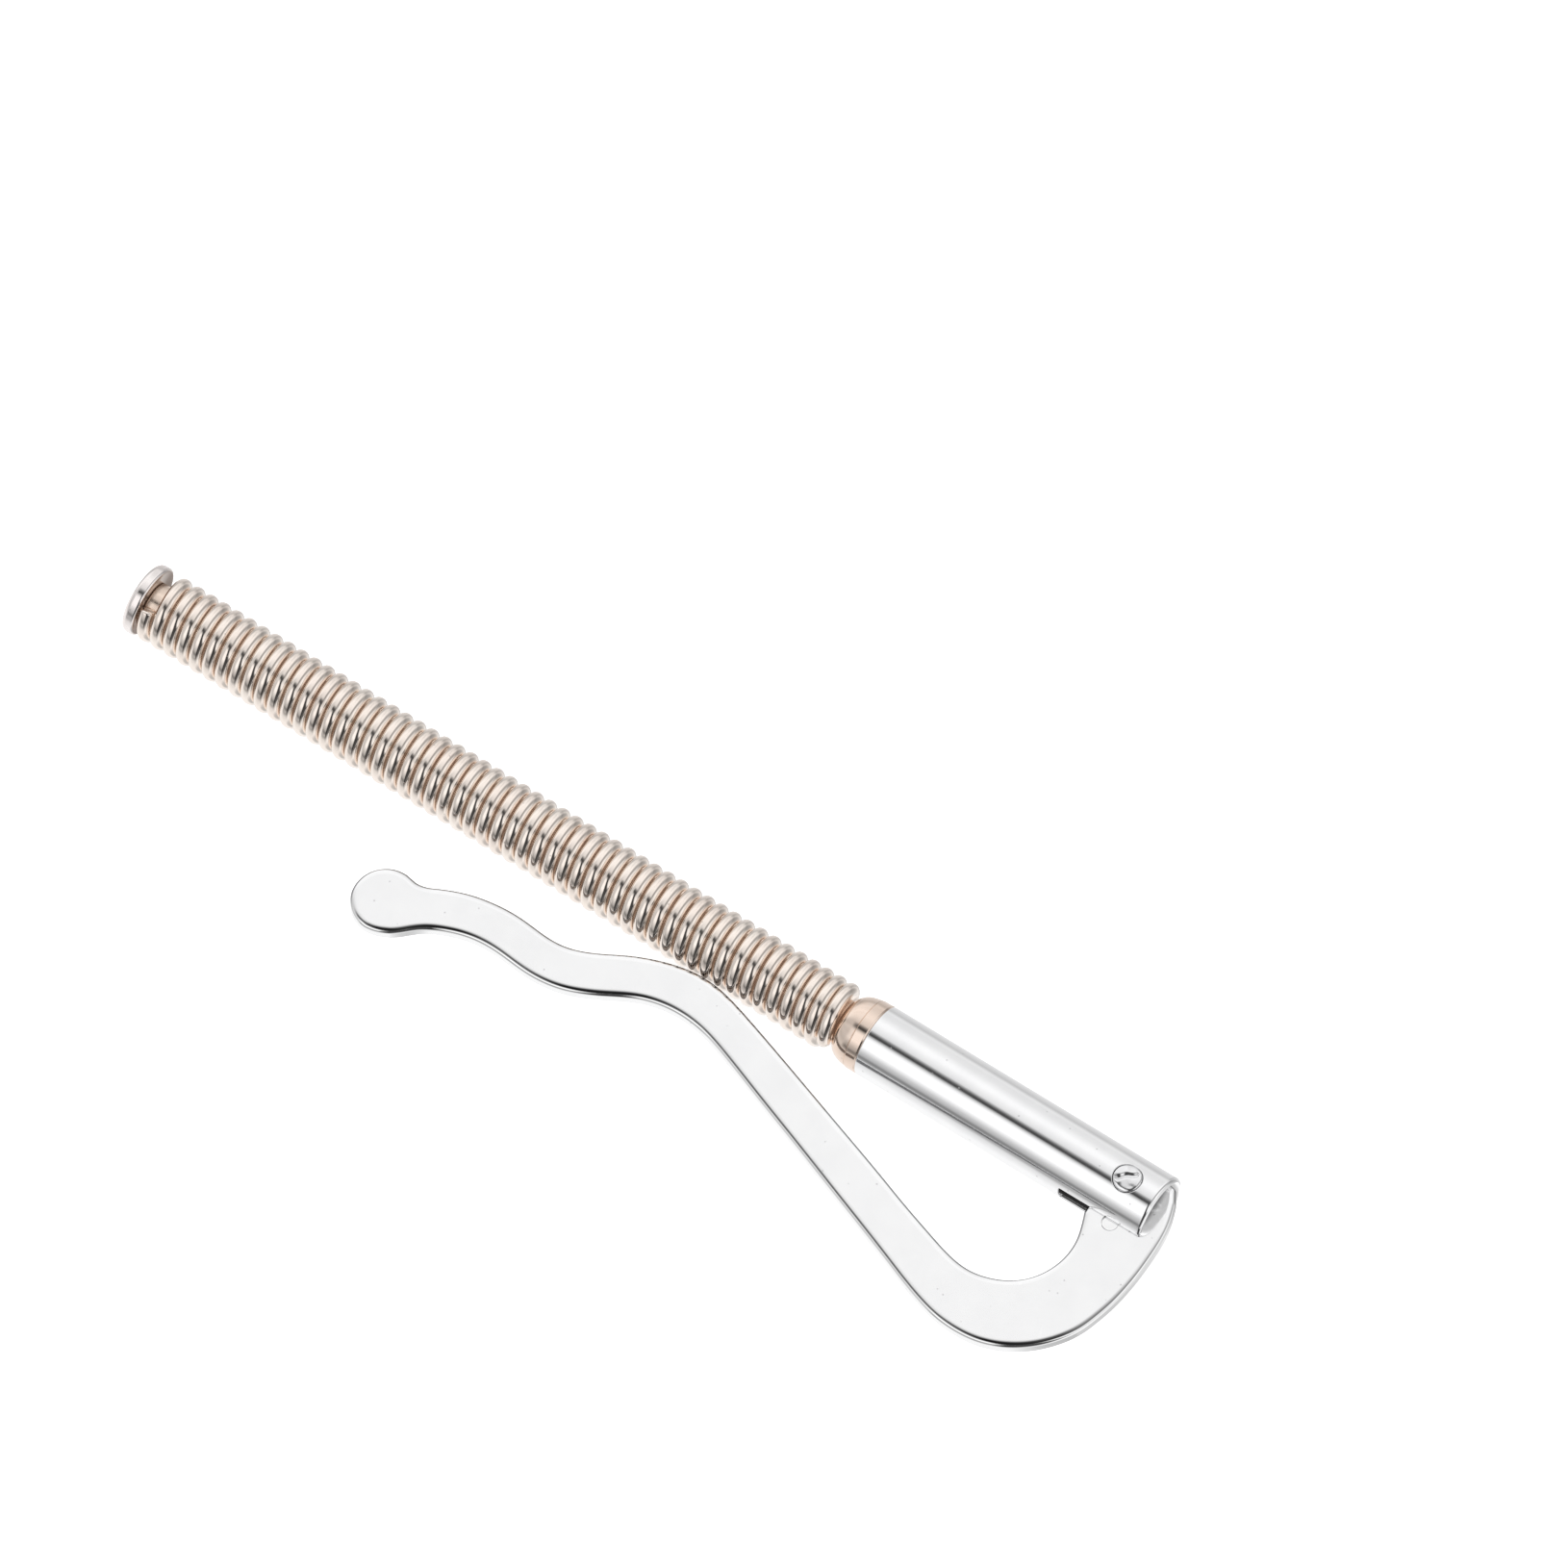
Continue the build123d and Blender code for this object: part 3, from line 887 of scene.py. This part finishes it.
def coil_drift(turn):
    """Shift of the winding along X: a small waviness and a slow uneven pitch."""
    left = COIL_TURNS - turn
    wave = 0.012 * waviness(turn * 0.55) * np.clip(turn / 3, 0, 1) * np.clip(left / 3, 0, 1)
    bow = 0.00035 * (turn - 19.8) ** 2 - 0.100
    return wave + bow * np.clip(turn / 4, 0, 1) * (0.35 + 0.65 * np.clip(left / 4, 0, 1))


coil = helix_x(
    "coil_wrap", wire_metal, start_x=-91.13, pitch=1.2275, turns=COIL_TURNS,
    coil_radius=COIL_OUTER_R - COIL_WIRE_R, wire_radius=COIL_WIRE_R, start_angle=127.0,
    per_turn=64, around=22, end_round=0.07,
    drift=coil_drift)
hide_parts("coil_spring")
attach(coil, "shaft")

# ======================================================================= plunger
PLUNGER_X0, PLUNGER_X1 = -11.20, -2.62


def build_plunger():
    body = round_corners([
        (PLUNGER_X0, 0.5), (PLUNGER_X0, 1.70, 0.25), (SHOULDER_X, 1.70, 0.12),
        (SHOULDER_X, 2.59, 0.15), (-5.45, 2.59, 0.15), (-5.10, 2.05, 0.1),
        (PLUNGER_X1, 2.05, 0.15), (PLUNGER_X1, 0.5)], steps=5)
    profile = np.concatenate([[(PLUNGER_X0, 0)], body, [(PLUNGER_X1, 0)]])
    return revolve_x("plunger_body_turned", profile, 96, plunger_metal)


plunger = build_plunger()
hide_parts("plunger")
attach(plunger, "plunger_body")

# ======================================================================= return spring
SPRING_TURNS = 8.0
SPRING_WIRE = 0.55                # nominal wire diameter
SPRING_OUTER = 4.90               # nominal coil diameter
SPRING_INSET = SPRING_WIRE / 2 + 0.03            # wire centre from the face it rests on
spring_x0 = FERRULE_X1 + SPRING_INSET
spring_x1 = SHOULDER_X - SPRING_INSET

return_spring = helix_x(
    "return_coil", spring_metal, start_x=spring_x0,
    pitch=(spring_x1 - spring_x0) / SPRING_TURNS, turns=SPRING_TURNS,
    coil_radius=(SPRING_OUTER - SPRING_WIRE) / 2, wire_radius=0.272, start_angle=90.0,
    per_turn=48, around=14, end_round=0.05)
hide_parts("return_spring")
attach(return_spring, "shaft")
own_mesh(return_spring)

# ======================================================================= lever
LEVER_THICKNESS = 1.35
LEVER_STEP = 0.10                 # spacing of points along the long edges
TIP_CENTRE = np.array((-62.15, -11.25))
TIP_R = 2.76
# angles where the round tip meets the inner and the outer edge
TIP_INNER, TIP_OUTER = math.radians(66.0), math.radians(-70.0)

# (x, y) from the tip to the head along the edge nearer the shaft
INNER_EDGE = [
    tuple(on_circle(TIP_CENTRE, TIP_R, TIP_INNER)),
    (-60.50, -8.72), (-59.72, -8.35), (-58.35, -7.68), (-56.93, -7.16), (-55.44, -6.84),
    (-53.92, -6.66), (-52.36, -6.66), (-50.81, -6.81), (-49.44, -6.90), (-48.12, -6.76),
    (-46.91, -6.37), (-45.74, -5.81), (-44.46, -5.08), (-43.12, -4.39), (-41.69, -3.81),
    (-40.17, -3.35), (-38.85, -3.10), (-37.63, -3.04), (-36.41, -3.14), (-35.08, -3.42),
    (-33.27, -3.94), (-30.98, -4.67), (-27.95, -5.67), (-24.17, -6.94), (-20.37, -8.21),
    (-16.58, -9.50), (-13.62, -10.54), (-10.66, -11.49), (-9.18, -11.95), (-7.72, -12.28),
    (-6.35, -12.35), (-5.03, -12.08), (-3.82, -11.59), (-2.72, -10.82), (-1.83, -9.77),
    (-1.26, -8.57), (-0.98, -7.42), (-0.95, -6.41), (-1.12, -5.31), (-1.48, -4.36),
    (-1.88, -3.41)]
# (x, y) from the tip to the head along the edge away from the shaft
OUTER_EDGE = [
    tuple(on_circle(TIP_CENTRE, TIP_R, TIP_OUTER)),
    (-60.11, -13.31), (-59.36, -12.61), (-58.28, -11.63), (-56.94, -10.95), (-55.52, -10.44),
    (-54.03, -10.17), (-52.48, -10.15), (-50.92, -10.30), (-49.38, -10.40), (-47.85, -10.31),
    (-46.37, -10.00), (-44.99, -9.46), (-43.65, -8.79), (-42.38, -8.05), (-41.03, -7.38),
    (-39.62, -6.95), (-38.13, -6.75), (-36.59, -6.79), (-35.04, -7.06), (-33.52, -7.52),
    (-31.25, -8.33), (-28.25, -9.44), (-24.50, -10.79), (-19.98, -12.45), (-15.46, -14.11),
    (-12.47, -15.23), (-10.29, -16.06), (-8.10, -16.79), (-6.60, -17.16), (-5.07, -17.31),
    (-3.50, -17.26), (-1.97, -16.94), (-0.53, -16.32), (0.77, -15.48), (1.91, -14.43),
    (2.87, -13.21), (3.63, -11.83), (4.09, -10.30), (4.44, -8.76), (4.63, -7.22),
    (4.72, -5.67), (4.70, -4.12), (4.61, -2.41), (4.41, -1.05), (4.10, 0.00), (3.66, 1.10)]

# head corners at the two ends of its crown, both rounded alike
CROWN_START, CROWN_TOP, CROWN_END = (-2.60, 2.05), (0.30, 2.42), (2.99, 2.14)
HEAD_ROUND = 0.62

# angles in degrees through which the normal turns over the edge
EDGE_TURNS = (0, 4, 8, 12, 16, 20, 28, 38, 50, 63, 77, 90)
SOFT_TURN = math.radians(20)      # the soft roll-over next to the face ends here
SOFT_R, TIGHT_R = 1.10, 0.32      # radii of the soft roll-over and of the edge proper

# punch mark: a shallow round dish in the +Z face
MARK_CENTRE = np.array((0.36, -3.09))
MARK_R, MARK_DEPTH, MARK_SLOPE = 0.74, 0.05, 0.16


def lever_outline():
    """Clockwise loop: inner edge, head, outer edge back, round tip."""
    inner, outer = (smooth_curve(natural_spline(edge, LEVER_STEP), 0.55, LEVER_STEP)
                    for edge in (INNER_EDGE, OUTER_EDGE))
    crown = arc_through(CROWN_START, CROWN_TOP, CROWN_END, steps=8)
    head = [tuple(inner[-1]), (-2.00, -2.15, 0.30), (-2.60, -1.75, HEAD_ROUND),
            (*CROWN_START, HEAD_ROUND), *(tuple(point) for point in crown[1:-1]),
            (*CROWN_END, HEAD_ROUND), tuple(outer[-1])]
    head = subdivide(round_corners(head, steps=8), 0.12)
    tip_steps = 110
    sweep = TIP_INNER - 2 * math.pi - TIP_OUTER
    tip = np.array([on_circle(TIP_CENTRE, TIP_R, TIP_OUTER + sweep * k / tip_steps)
                    for k in range(tip_steps + 1)])
    loop = np.concatenate([inner[:-1], head[:-1], outer[::-1][:-1], tip[:-1]])
    # smooth only the joins of the tip with the edges
    count = len(loop)
    for _ in range(30):
        smoothed = 0.5 * loop + 0.25 * (np.roll(loop, 1, 0) + np.roll(loop, -1, 0))
        for join in (0, count - len(tip) + 1):
            ids = [(join + k) % count for k in range(-9, 10)]
            loop[ids] = smoothed[ids]
    return loop


def outline_inward(loop):
    """Normals into the plate, evened out a little."""
    inward = -polyline_normals(loop, closed=True)
    for _ in range(2):
        inward = unit_rows(inward + 0.5 * (np.roll(inward, 1, 0) + np.roll(inward, -1, 0)))
    return inward


def outline_roll(turn):
    """Reach from the outline and depth under the face where the normal has turned so far."""
    if turn < SOFT_TURN:
        reach = (TIGHT_R * (1 - math.sin(SOFT_TURN))
                 + SOFT_R * (math.sin(SOFT_TURN) - math.sin(turn)))
        return reach, SOFT_R * (1 - math.cos(turn))
    depth = (SOFT_R * (1 - math.cos(SOFT_TURN))
             + TIGHT_R * (math.cos(SOFT_TURN) - math.cos(turn)))
    return TIGHT_R * (1 - math.sin(turn)), depth


def hole_roll(turn):
    """The same for the pin hole."""
    return 0.06 * (1 - math.sin(turn)), 0.056 * (1 - math.cos(turn))


def face_points(border):
    """Points of the punch mark and a sparse grid that keeps the triangles regular."""
    mark = []
    for radius in (0.0, 0.2, 0.4, 0.52, 0.60, 0.66, 0.70, 0.74, 0.80):
        count = 1 if radius == 0 else max(12, int(radius * 60))
        for k in range(count):
            mark.append(on_circle(MARK_CENTRE, radius, 2 * math.pi * k / count))
    x, y = np.meshgrid(np.arange(-64, 5, 1.1), np.arange(-17.5, 2.5, 1.1))
    grid = np.stack([x.ravel(), y.ravel()], 1)
    grid = grid[in_polygon(grid, border)
                & (np.linalg.norm(grid, axis=1) > PIN_R + 0.4)
                & (np.linalg.norm(grid - MARK_CENTRE, axis=1) > 0.95)]
    gap = np.min(np.linalg.norm(grid[:, None, :] - border[None, ::3, :], axis=2), axis=1)
    return np.concatenate([np.array(mark), grid[gap > 0.35]])


def mark_dip(x, y):
    """Depth of the punch mark and the x and y parts of its normal."""
    from_x, from_y = x - MARK_CENTRE[0], y - MARK_CENTRE[1]
    radius = math.hypot(from_x, from_y)
    if radius >= MARK_R:
        return 0.0, 0.0, 0.0
    s = min(1.0, (MARK_R - radius) / MARK_SLOPE)
    depth = MARK_DEPTH * s * s * (3 - 2 * s)
    if s == 1 or radius <= 1e-6:
        return depth, 0.0, 0.0
    grade = MARK_DEPTH * (6 * s - 6 * s * s) / MARK_SLOPE
    return depth, -grade * from_x / radius, -grade * from_y / radius


def build_lever():
    loop = lever_outline()
    angles = ring_angles(72)
    from_pin = np.stack([np.cos(angles), np.sin(angles)], 1)
    verts, normals, faces, borders, border_rows = [], [], [], [], []
    for points, inward, roll in ((loop, outline_inward(loop), outline_roll),
                                 ((PIN_R + 0.04) * from_pin, from_pin, hole_roll)):
        rows = []
        for side, turns in ((1, EDGE_TURNS), (-1, EDGE_TURNS[::-1])):
            for turn in map(math.radians, turns):
                reach, depth = roll(turn)
                z = side * (LEVER_THICKNESS / 2 - depth)
                rows.append(np.arange(len(verts), len(verts) + len(points)))
                verts.extend((x, y, z) for x, y in points + inward * reach)
                normals.extend((x, y, side * math.cos(turn))
                               for x, y in -inward * math.sin(turn))
        for first, second in zip(rows[:-1], rows[1:]):
            faces += stitch(first, second)
        borders.append(points + inward * roll(0.0)[0])
        border_rows.append(rows)

    border, hole = borders
    extra = face_points(border)
    triangles = triangulate(border, [hole], extra)
    for side, row in ((1, 0), (-1, -1)):
        new_ids = np.arange(len(verts), len(verts) + len(extra))
        index = np.concatenate([rows[row] for rows in border_rows] + [new_ids])
        for x, y in extra:
            dip, normal_x, normal_y = mark_dip(x, y) if side == 1 else (0.0, 0.0, 0.0)
            verts.append((x, y, side * LEVER_THICKNESS / 2 - dip))
            normals.append((normal_x, normal_y, side))
        faces.extend(index[triangle][::side] for triangle in triangles)
    return make_object("lever_plate_j", verts, faces, normals, lever_metal)


lever = build_lever()
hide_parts("lever")
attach(lever, "lever_arm")

# ======================================================================= pivot rivet
PIN_HALF_LENGTH = 3.085           # at the middle of an end, before the marks
PIN_FLAT_R = 0.90                 # the rounding of the end starts here
# ends (x, y) of the crease across each end of the pin, by the sign of z
CREASES = {1: np.array([(-0.88, -0.56), (0.66, 0.74)]),
           -1: np.array([(-0.70, 0.62), (0.62, -0.60)])}
RIVET_RADII = [0.0, *np.linspace(0.06, PIN_FLAT_R, 15),
               0.96, 1.01, 1.05, 1.085, 1.11, 1.13, 1.145, PIN_R]


def rivet_height(x, y, side):
    """Height of a pin end over the middle of the pin."""
    radius = math.hypot(x, y)
    conform = (math.sqrt(max(0.0, SLEEVE_R * SLEEVE_R - y * y)) - SLEEVE_R) * 0.72
    height = PIN_HALF_LENGTH + conform - 0.035 * (radius / PIN_R) ** 2
    edge = min(1.0, max(0.0, (radius - PIN_FLAT_R) / (PIN_R - PIN_FLAT_R)))
    height -= 0.13 * (1 - math.sqrt(max(0.0, 1 - edge ** 2)))
    # creased peening mark with a low ridge beside it
    start, end = CREASES[side]
    length = np.linalg.norm(end - start)
    direction = (end - start) / length
    offset = np.array((x, y)) - start
    along = float(offset @ direction)
    across = float(offset @ np.array((-direction[1], direction[0])))
    across += 0.05 * math.sin(along * 5.0)
    fade = (min(1.0, max(0.0, along / 0.18))
            * min(1.0, max(0.0, (length - along) / 0.18)))
    height -= 0.155 * math.exp(-(across / 0.19) ** 2) * fade
    height += 0.02 * math.exp(-((across - 0.27) / 0.14) ** 2) * fade
    # sunken patch towards +X and -Y, then a slight unevenness
    height -= 0.05 * math.exp(-(((x - 0.60) / 0.33) ** 2 + ((y + 0.52) / 0.30) ** 2))
    return height + 0.008 * math.sin(7.3 * x + 1.1) * math.cos(6.1 * y - 0.4)


def build_rivet():
    angles = ring_angles(96)
    verts, normals, rows = [], [], []

    def slope(x, y, dx, dy, side):
        """Slope of the end in one direction, limited at the steep edge."""
        rise = rivet_height(x + dx, y + dy, side) - rivet_height(x - dx, y - dy, side)
        return max(-8, min(8, rise / (2 * (dx + dy))))

    def add_end_ring(radius, side):
        ring = angles if radius > 0 else angles[:1]
        rows.append(range(len(verts), len(verts) + len(ring)))
        for angle in ring:
            x, y = radius * math.cos(angle), radius * math.sin(angle)
            verts.append((x, y, side * rivet_height(x, y, side)))
            normals.append((-slope(x, y, 1e-3, 0.0, side), -slope(x, y, 0.0, 1e-3, side), side))

    for radius in RIVET_RADII:
        add_end_ring(radius, 1)
    for z in np.linspace(2.55, -2.55, 20):
        rows.append(range(len(verts), len(verts) + len(angles)))
        for angle in angles:
            cosine, sine = math.cos(angle), math.sin(angle)
            verts.append((PIN_R * cosine, PIN_R * sine, z))
            normals.append((cosine, sine, 0))
    for radius in reversed(RIVET_RADII):
        add_end_ring(radius, -1)
    faces = []
    for first, second in zip(rows[:-1], rows[1:]):
        # the rows run from +Z to -Z, so each face is wound the other way
        faces += [(face[0], *face[:0:-1]) for face in stitch(first, second)]
    return make_object("pivot_pin_formed", verts, faces, normals, rivet_metal)


rivet = build_rivet()
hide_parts("pivot_rivet")
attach(rivet, "shaft")

# ======================================================================= floor (metres)
FLOOR_Z = cad_box[0][2] - 0.00002
FLOOR_HALF = 3.0
FLOOR_CELLS = 12


def floor_material():
    """Pale diffuse sheet that also glows, but only to the camera."""
    material = bpy.data.materials.new("pale_floor")
    net = Net(cleared_tree(material))
    diffuse = net.node("BsdfDiffuse")
    cloud = net.noise(net.mm, scale=0.02, detail=3.0, rough=0.55)
    net.put(diffuse.inputs["Color"],
            net.ramp(cloud, [(0.3, (0.90, 0.90, 0.905)), (0.7, (0.92, 0.92, 0.92))]))
    emission = net.node("Emission")
    emission.inputs["Strength"].default_value = 0.62
    both = net.node("AddShader")
    net.put(both.inputs[0], diffuse.outputs[0])
    net.put(both.inputs[1], emission.outputs[0])
    choice = net.node("MixShader")
    net.put(choice.inputs[0], net.node("LightPath").outputs["Is Camera Ray"])
    net.put(choice.inputs[1], diffuse.outputs[0])
    net.put(choice.inputs[2], both.outputs[0])
    net.put(net.node("OutputMaterial").inputs["Surface"], choice.outputs[0])
    return material


def build_floor():
    material = floor_material()
    mesh = bpy.data.meshes.new("floor_sheet")
    marks = np.linspace(-FLOOR_HALF, FLOOR_HALF, FLOOR_CELLS + 1)
    verts = [(x, y, FLOOR_Z) for y in marks for x in marks]
    row = FLOOR_CELLS + 1
    corners = [j * row + i for j in range(FLOOR_CELLS) for i in range(FLOOR_CELLS)]
    mesh.from_pydata(verts, [], [(c, c + 1, c + row + 1, c + row) for c in corners])
    mesh.materials.append(material)
    sheet = bpy.data.objects.new("floor_sheet", mesh)
    scene.collection.objects.link(sheet)
    sheet.visible_glossy = False


build_floor()

# ======================================================================= light tent
# Every table is (angle about X in degrees, value). The angle is 0 at +Y, 90 at +Z,
# 180 at -Y and -90 or 270 at -Z.
# Brightness of directions across the shaft, and of those nearer the X axis
ACROSS_LIGHT = [
    (-90, 0.95), (-58, 0.88), (-32, 0.72), (-17, 0.64), (-9, 0.56), (-1, 0.70), (5, 0.84),
    (16, 0.80), (30, 0.83), (43, 0.93), (53, 1.02), (63, 1.02), (72, 0.94), (84, 0.83),
    (89.5, 0.76), (93, 0.46), (97.5, 0.16), (102.5, 0.08), (106, 0.18), (110, 0.50),
    (114, 0.84), (120, 1.08), (146, 1.10), (153, 0.88), (163, 0.61), (172, 0.46),
    (178, 0.24), (182, 0.24), (189, 0.50), (197, 0.42), (208, 0.80), (235, 1.00)]
END_LIGHT = [
    (-90, 0.95), (-58, 0.88), (-32, 0.72), (-9, 0.62), (5, 0.84), (30, 0.86), (53, 1.02),
    (63, 1.02), (78, 0.86), (93, 0.76), (104, 0.76), (114, 0.95), (146, 1.10), (165, 1.0),
    (190, 0.95), (208, 0.95), (235, 1.0)]
# Slanted dark zone over the -Y side: its two limits, as (x + 1) / 2, and its darkness
SLANT_START = [(88, 0.22), (104, 0.30), (110, 0.47), (124, 0.555), (140, 0.625),
               (154, 0.645), (190, 0.655), (205, 0.65)]
SLANT_END = [(94, 0.64), (102, 0.65), (112, 0.73), (124, 0.81), (140, 0.92), (156, 1.0),
             (180, 0.95), (205, 0.90)]
SLANT_DARK = [(98, 0.0), (104, 0.45), (112, 0.94), (150, 0.95), (170, 0.92), (188, 0.86),
              (200, 0.5), (214, 0.12), (224, 0.0)]
# Dimming towards -X on the -Y side, and towards +X everywhere else
BACK_DARK = [(76, 0.0), (90, 0.16), (116, 0.26), (130, 0.38), (165, 0.44), (188, 0.28),
             (205, 0.0)]
FRONT_DARK = [(-90, 0.3), (-60, 0.35), (-30, 0.45), (30, 0.50), (55, 0.62), (80, 0.62),
              (92, 0.45), (98, 0.0), (225, 0.0), (245, 0.40), (265, 0.45)]
# Dim band low on the +Y side, and a brighter one above it
LOW_DARK = [(-82, 0.0), (-70, 0.20), (-10, 0.22), (2, 0.15), (12, 0.0)]
SIDE_GLOW = [(10, 0.0), (18, 0.16), (44, 0.14), (52, 0.0)]


def tent_brightness(net):
    """Brightness socket of the tent for a direction."""
    x, y, z = net.separate(net.coordinates("Generated"))
    angle = net.math("DEGREES", net.math("ARCTAN2", z, y))
    # moves -180..-90 up a turn, for a range of -90..270
    angle = net.math("SUBTRACT", angle,
                     net.times(net.math("LESS_THAN", angle, -90.0), -360.0))
    factor = net.math("DIVIDE", net.plus(angle, 90.0), 360.0)

    def curve(table):
        node = net.node("RGBToBW")
        stops = [((degrees + 90) / 360.0, (value,) * 3) for degrees, value in table]
        net.put(node.inputs[0], net.ramp(factor, stops))
        return node.outputs[0]

    def rise(value, edge, soft):
        """0 below edge - soft, 1 above edge + soft; a negative soft turns it round."""
        offset = net.math("DIVIDE", net.math("SUBTRACT", value, edge), soft)
        return net.remap(offset, span=(-1.0, 1.0))

    def fall(value, edge, soft):
        return net.invert(rise(value, edge, soft))

    def distance_from(place):
        """Distance of x from minus the given place."""
        return net.math("ABSOLUTE", net.plus(x, place))

    across = net.times(rise(x, edge=-0.55, soft=0.06), fall(x, edge=0.53, soft=0.08))
    light = net.plus(net.times(across, curve(ACROSS_LIGHT)),
                     net.times(net.invert(across), curve(END_LIGHT)))

    half_x = net.times(net.plus(x, 1.0), 0.5)
    slant = net.times(curve(SLANT_DARK), rise(half_x, edge=curve(SLANT_START), soft=0.035),
                      fall(half_x, edge=curve(SLANT_END), soft=0.05))
    back = net.times(curve(BACK_DARK), fall(x, edge=-0.52, soft=0.10))
    front = net.times(curve(FRONT_DARK), rise(x, edge=0.25, soft=0.10),
                      fall(x, edge=0.62, soft=0.09))
    # the low band shows near x = -0.04 and below x = -0.60
    low_span = net.math("ADD", fall(distance_from(0.04), edge=0.13, soft=0.05),
                        rise(x, edge=-0.60, soft=-0.08), clamp=True)
    low = net.times(curve(LOW_DARK), low_span)
    for darkness in (slant, back, front, low):
        light = net.times(light, net.invert(darkness))

    # the glow leaves out a strip around x = -0.27
    glow = net.times(curve(SIDE_GLOW), rise(distance_from(0.27), edge=0.11, soft=0.05),
                     fall(x, edge=0.25, soft=0.1))
    return net.times(light, net.plus(1.0, glow))


def build_world():
    """The tent lights the scene; the camera itself sees a plain white backdrop."""
    world = bpy.data.worlds.new("studio")
    scene.world = world
    net = Net(cleared_tree(world))
    light = tent_brightness(net)
    grey = net.node("CombineXYZ")
    for socket in grey.inputs:
        net.put(socket, light)
    tent = net.node("Background")
    net.put(tent.inputs["Color"], grey.outputs[0])
    tent.inputs["Strength"].default_value = 1.0
    backdrop = net.node("Background")
    net.put(backdrop.inputs["Color"], (1.0, 1.0, 1.0))
    choice = net.node("MixShader")
    net.put(choice.inputs[0], net.node("LightPath").outputs["Is Camera Ray"])
    net.put(choice.inputs[1], tent.outputs[0])
    net.put(choice.inputs[2], backdrop.outputs[0])
    net.put(net.node("OutputWorld").inputs[0], choice.outputs[0])


build_world()

# ======================================================================= key light (metres)
KEY_PLACE = Vector((-0.10, -0.45, 1.10))
KEY_TARGET = Vector((-0.0385, 0.0, 0.0))


def build_key_light():
    light = bpy.data.lights.new("key_softbox", "AREA")
    light.shape = "RECTANGLE"
    light.size = 1.2
    light.size_y = 0.9
    light.energy = 6.0
    key = bpy.data.objects.new("key_softbox", light)
    scene.collection.objects.link(key)
    key.location = KEY_PLACE
    key.rotation_euler = (KEY_TARGET - KEY_PLACE).to_track_quat("-Z", "Y").to_euler()
    key.visible_glossy = False


build_key_light()

# ======================================================================= camera (metres)
VIEW_CENTRE = Vector((-0.03783, 0.00886, 0.01452))
VIEW_RIGHT = Vector((0.8235, 0.5658, -0.0393))
VIEW_BACK = Vector((0.2700, -0.3300, 0.9045))    # from the view centre to the camera
VIEW_DISTANCE = 0.60
VIEW_WIDTH = 0.12137


def build_camera():
    right = VIEW_RIGHT.normalized()
    back = VIEW_BACK.normalized()
    right = (right - back * right.dot(back)).normalized()
    up = back.cross(right).normalized()
    data = bpy.data.cameras.new("camera")
    data.type = "ORTHO"
    data.ortho_scale = VIEW_WIDTH
    data.clip_start = 0.01
    data.clip_end = 20.0
    camera = bpy.data.objects.new("camera", data)
    scene.collection.objects.link(camera)
    place = VIEW_CENTRE + back * VIEW_DISTANCE
    rows = [(right[i], up[i], back[i], place[i]) for i in range(3)]
    camera.matrix_world = Matrix((*rows, (0, 0, 0, 1)))
    scene.camera = camera


build_camera()
scene.view_settings.view_transform = "Standard"
scene.view_settings.look = "None"
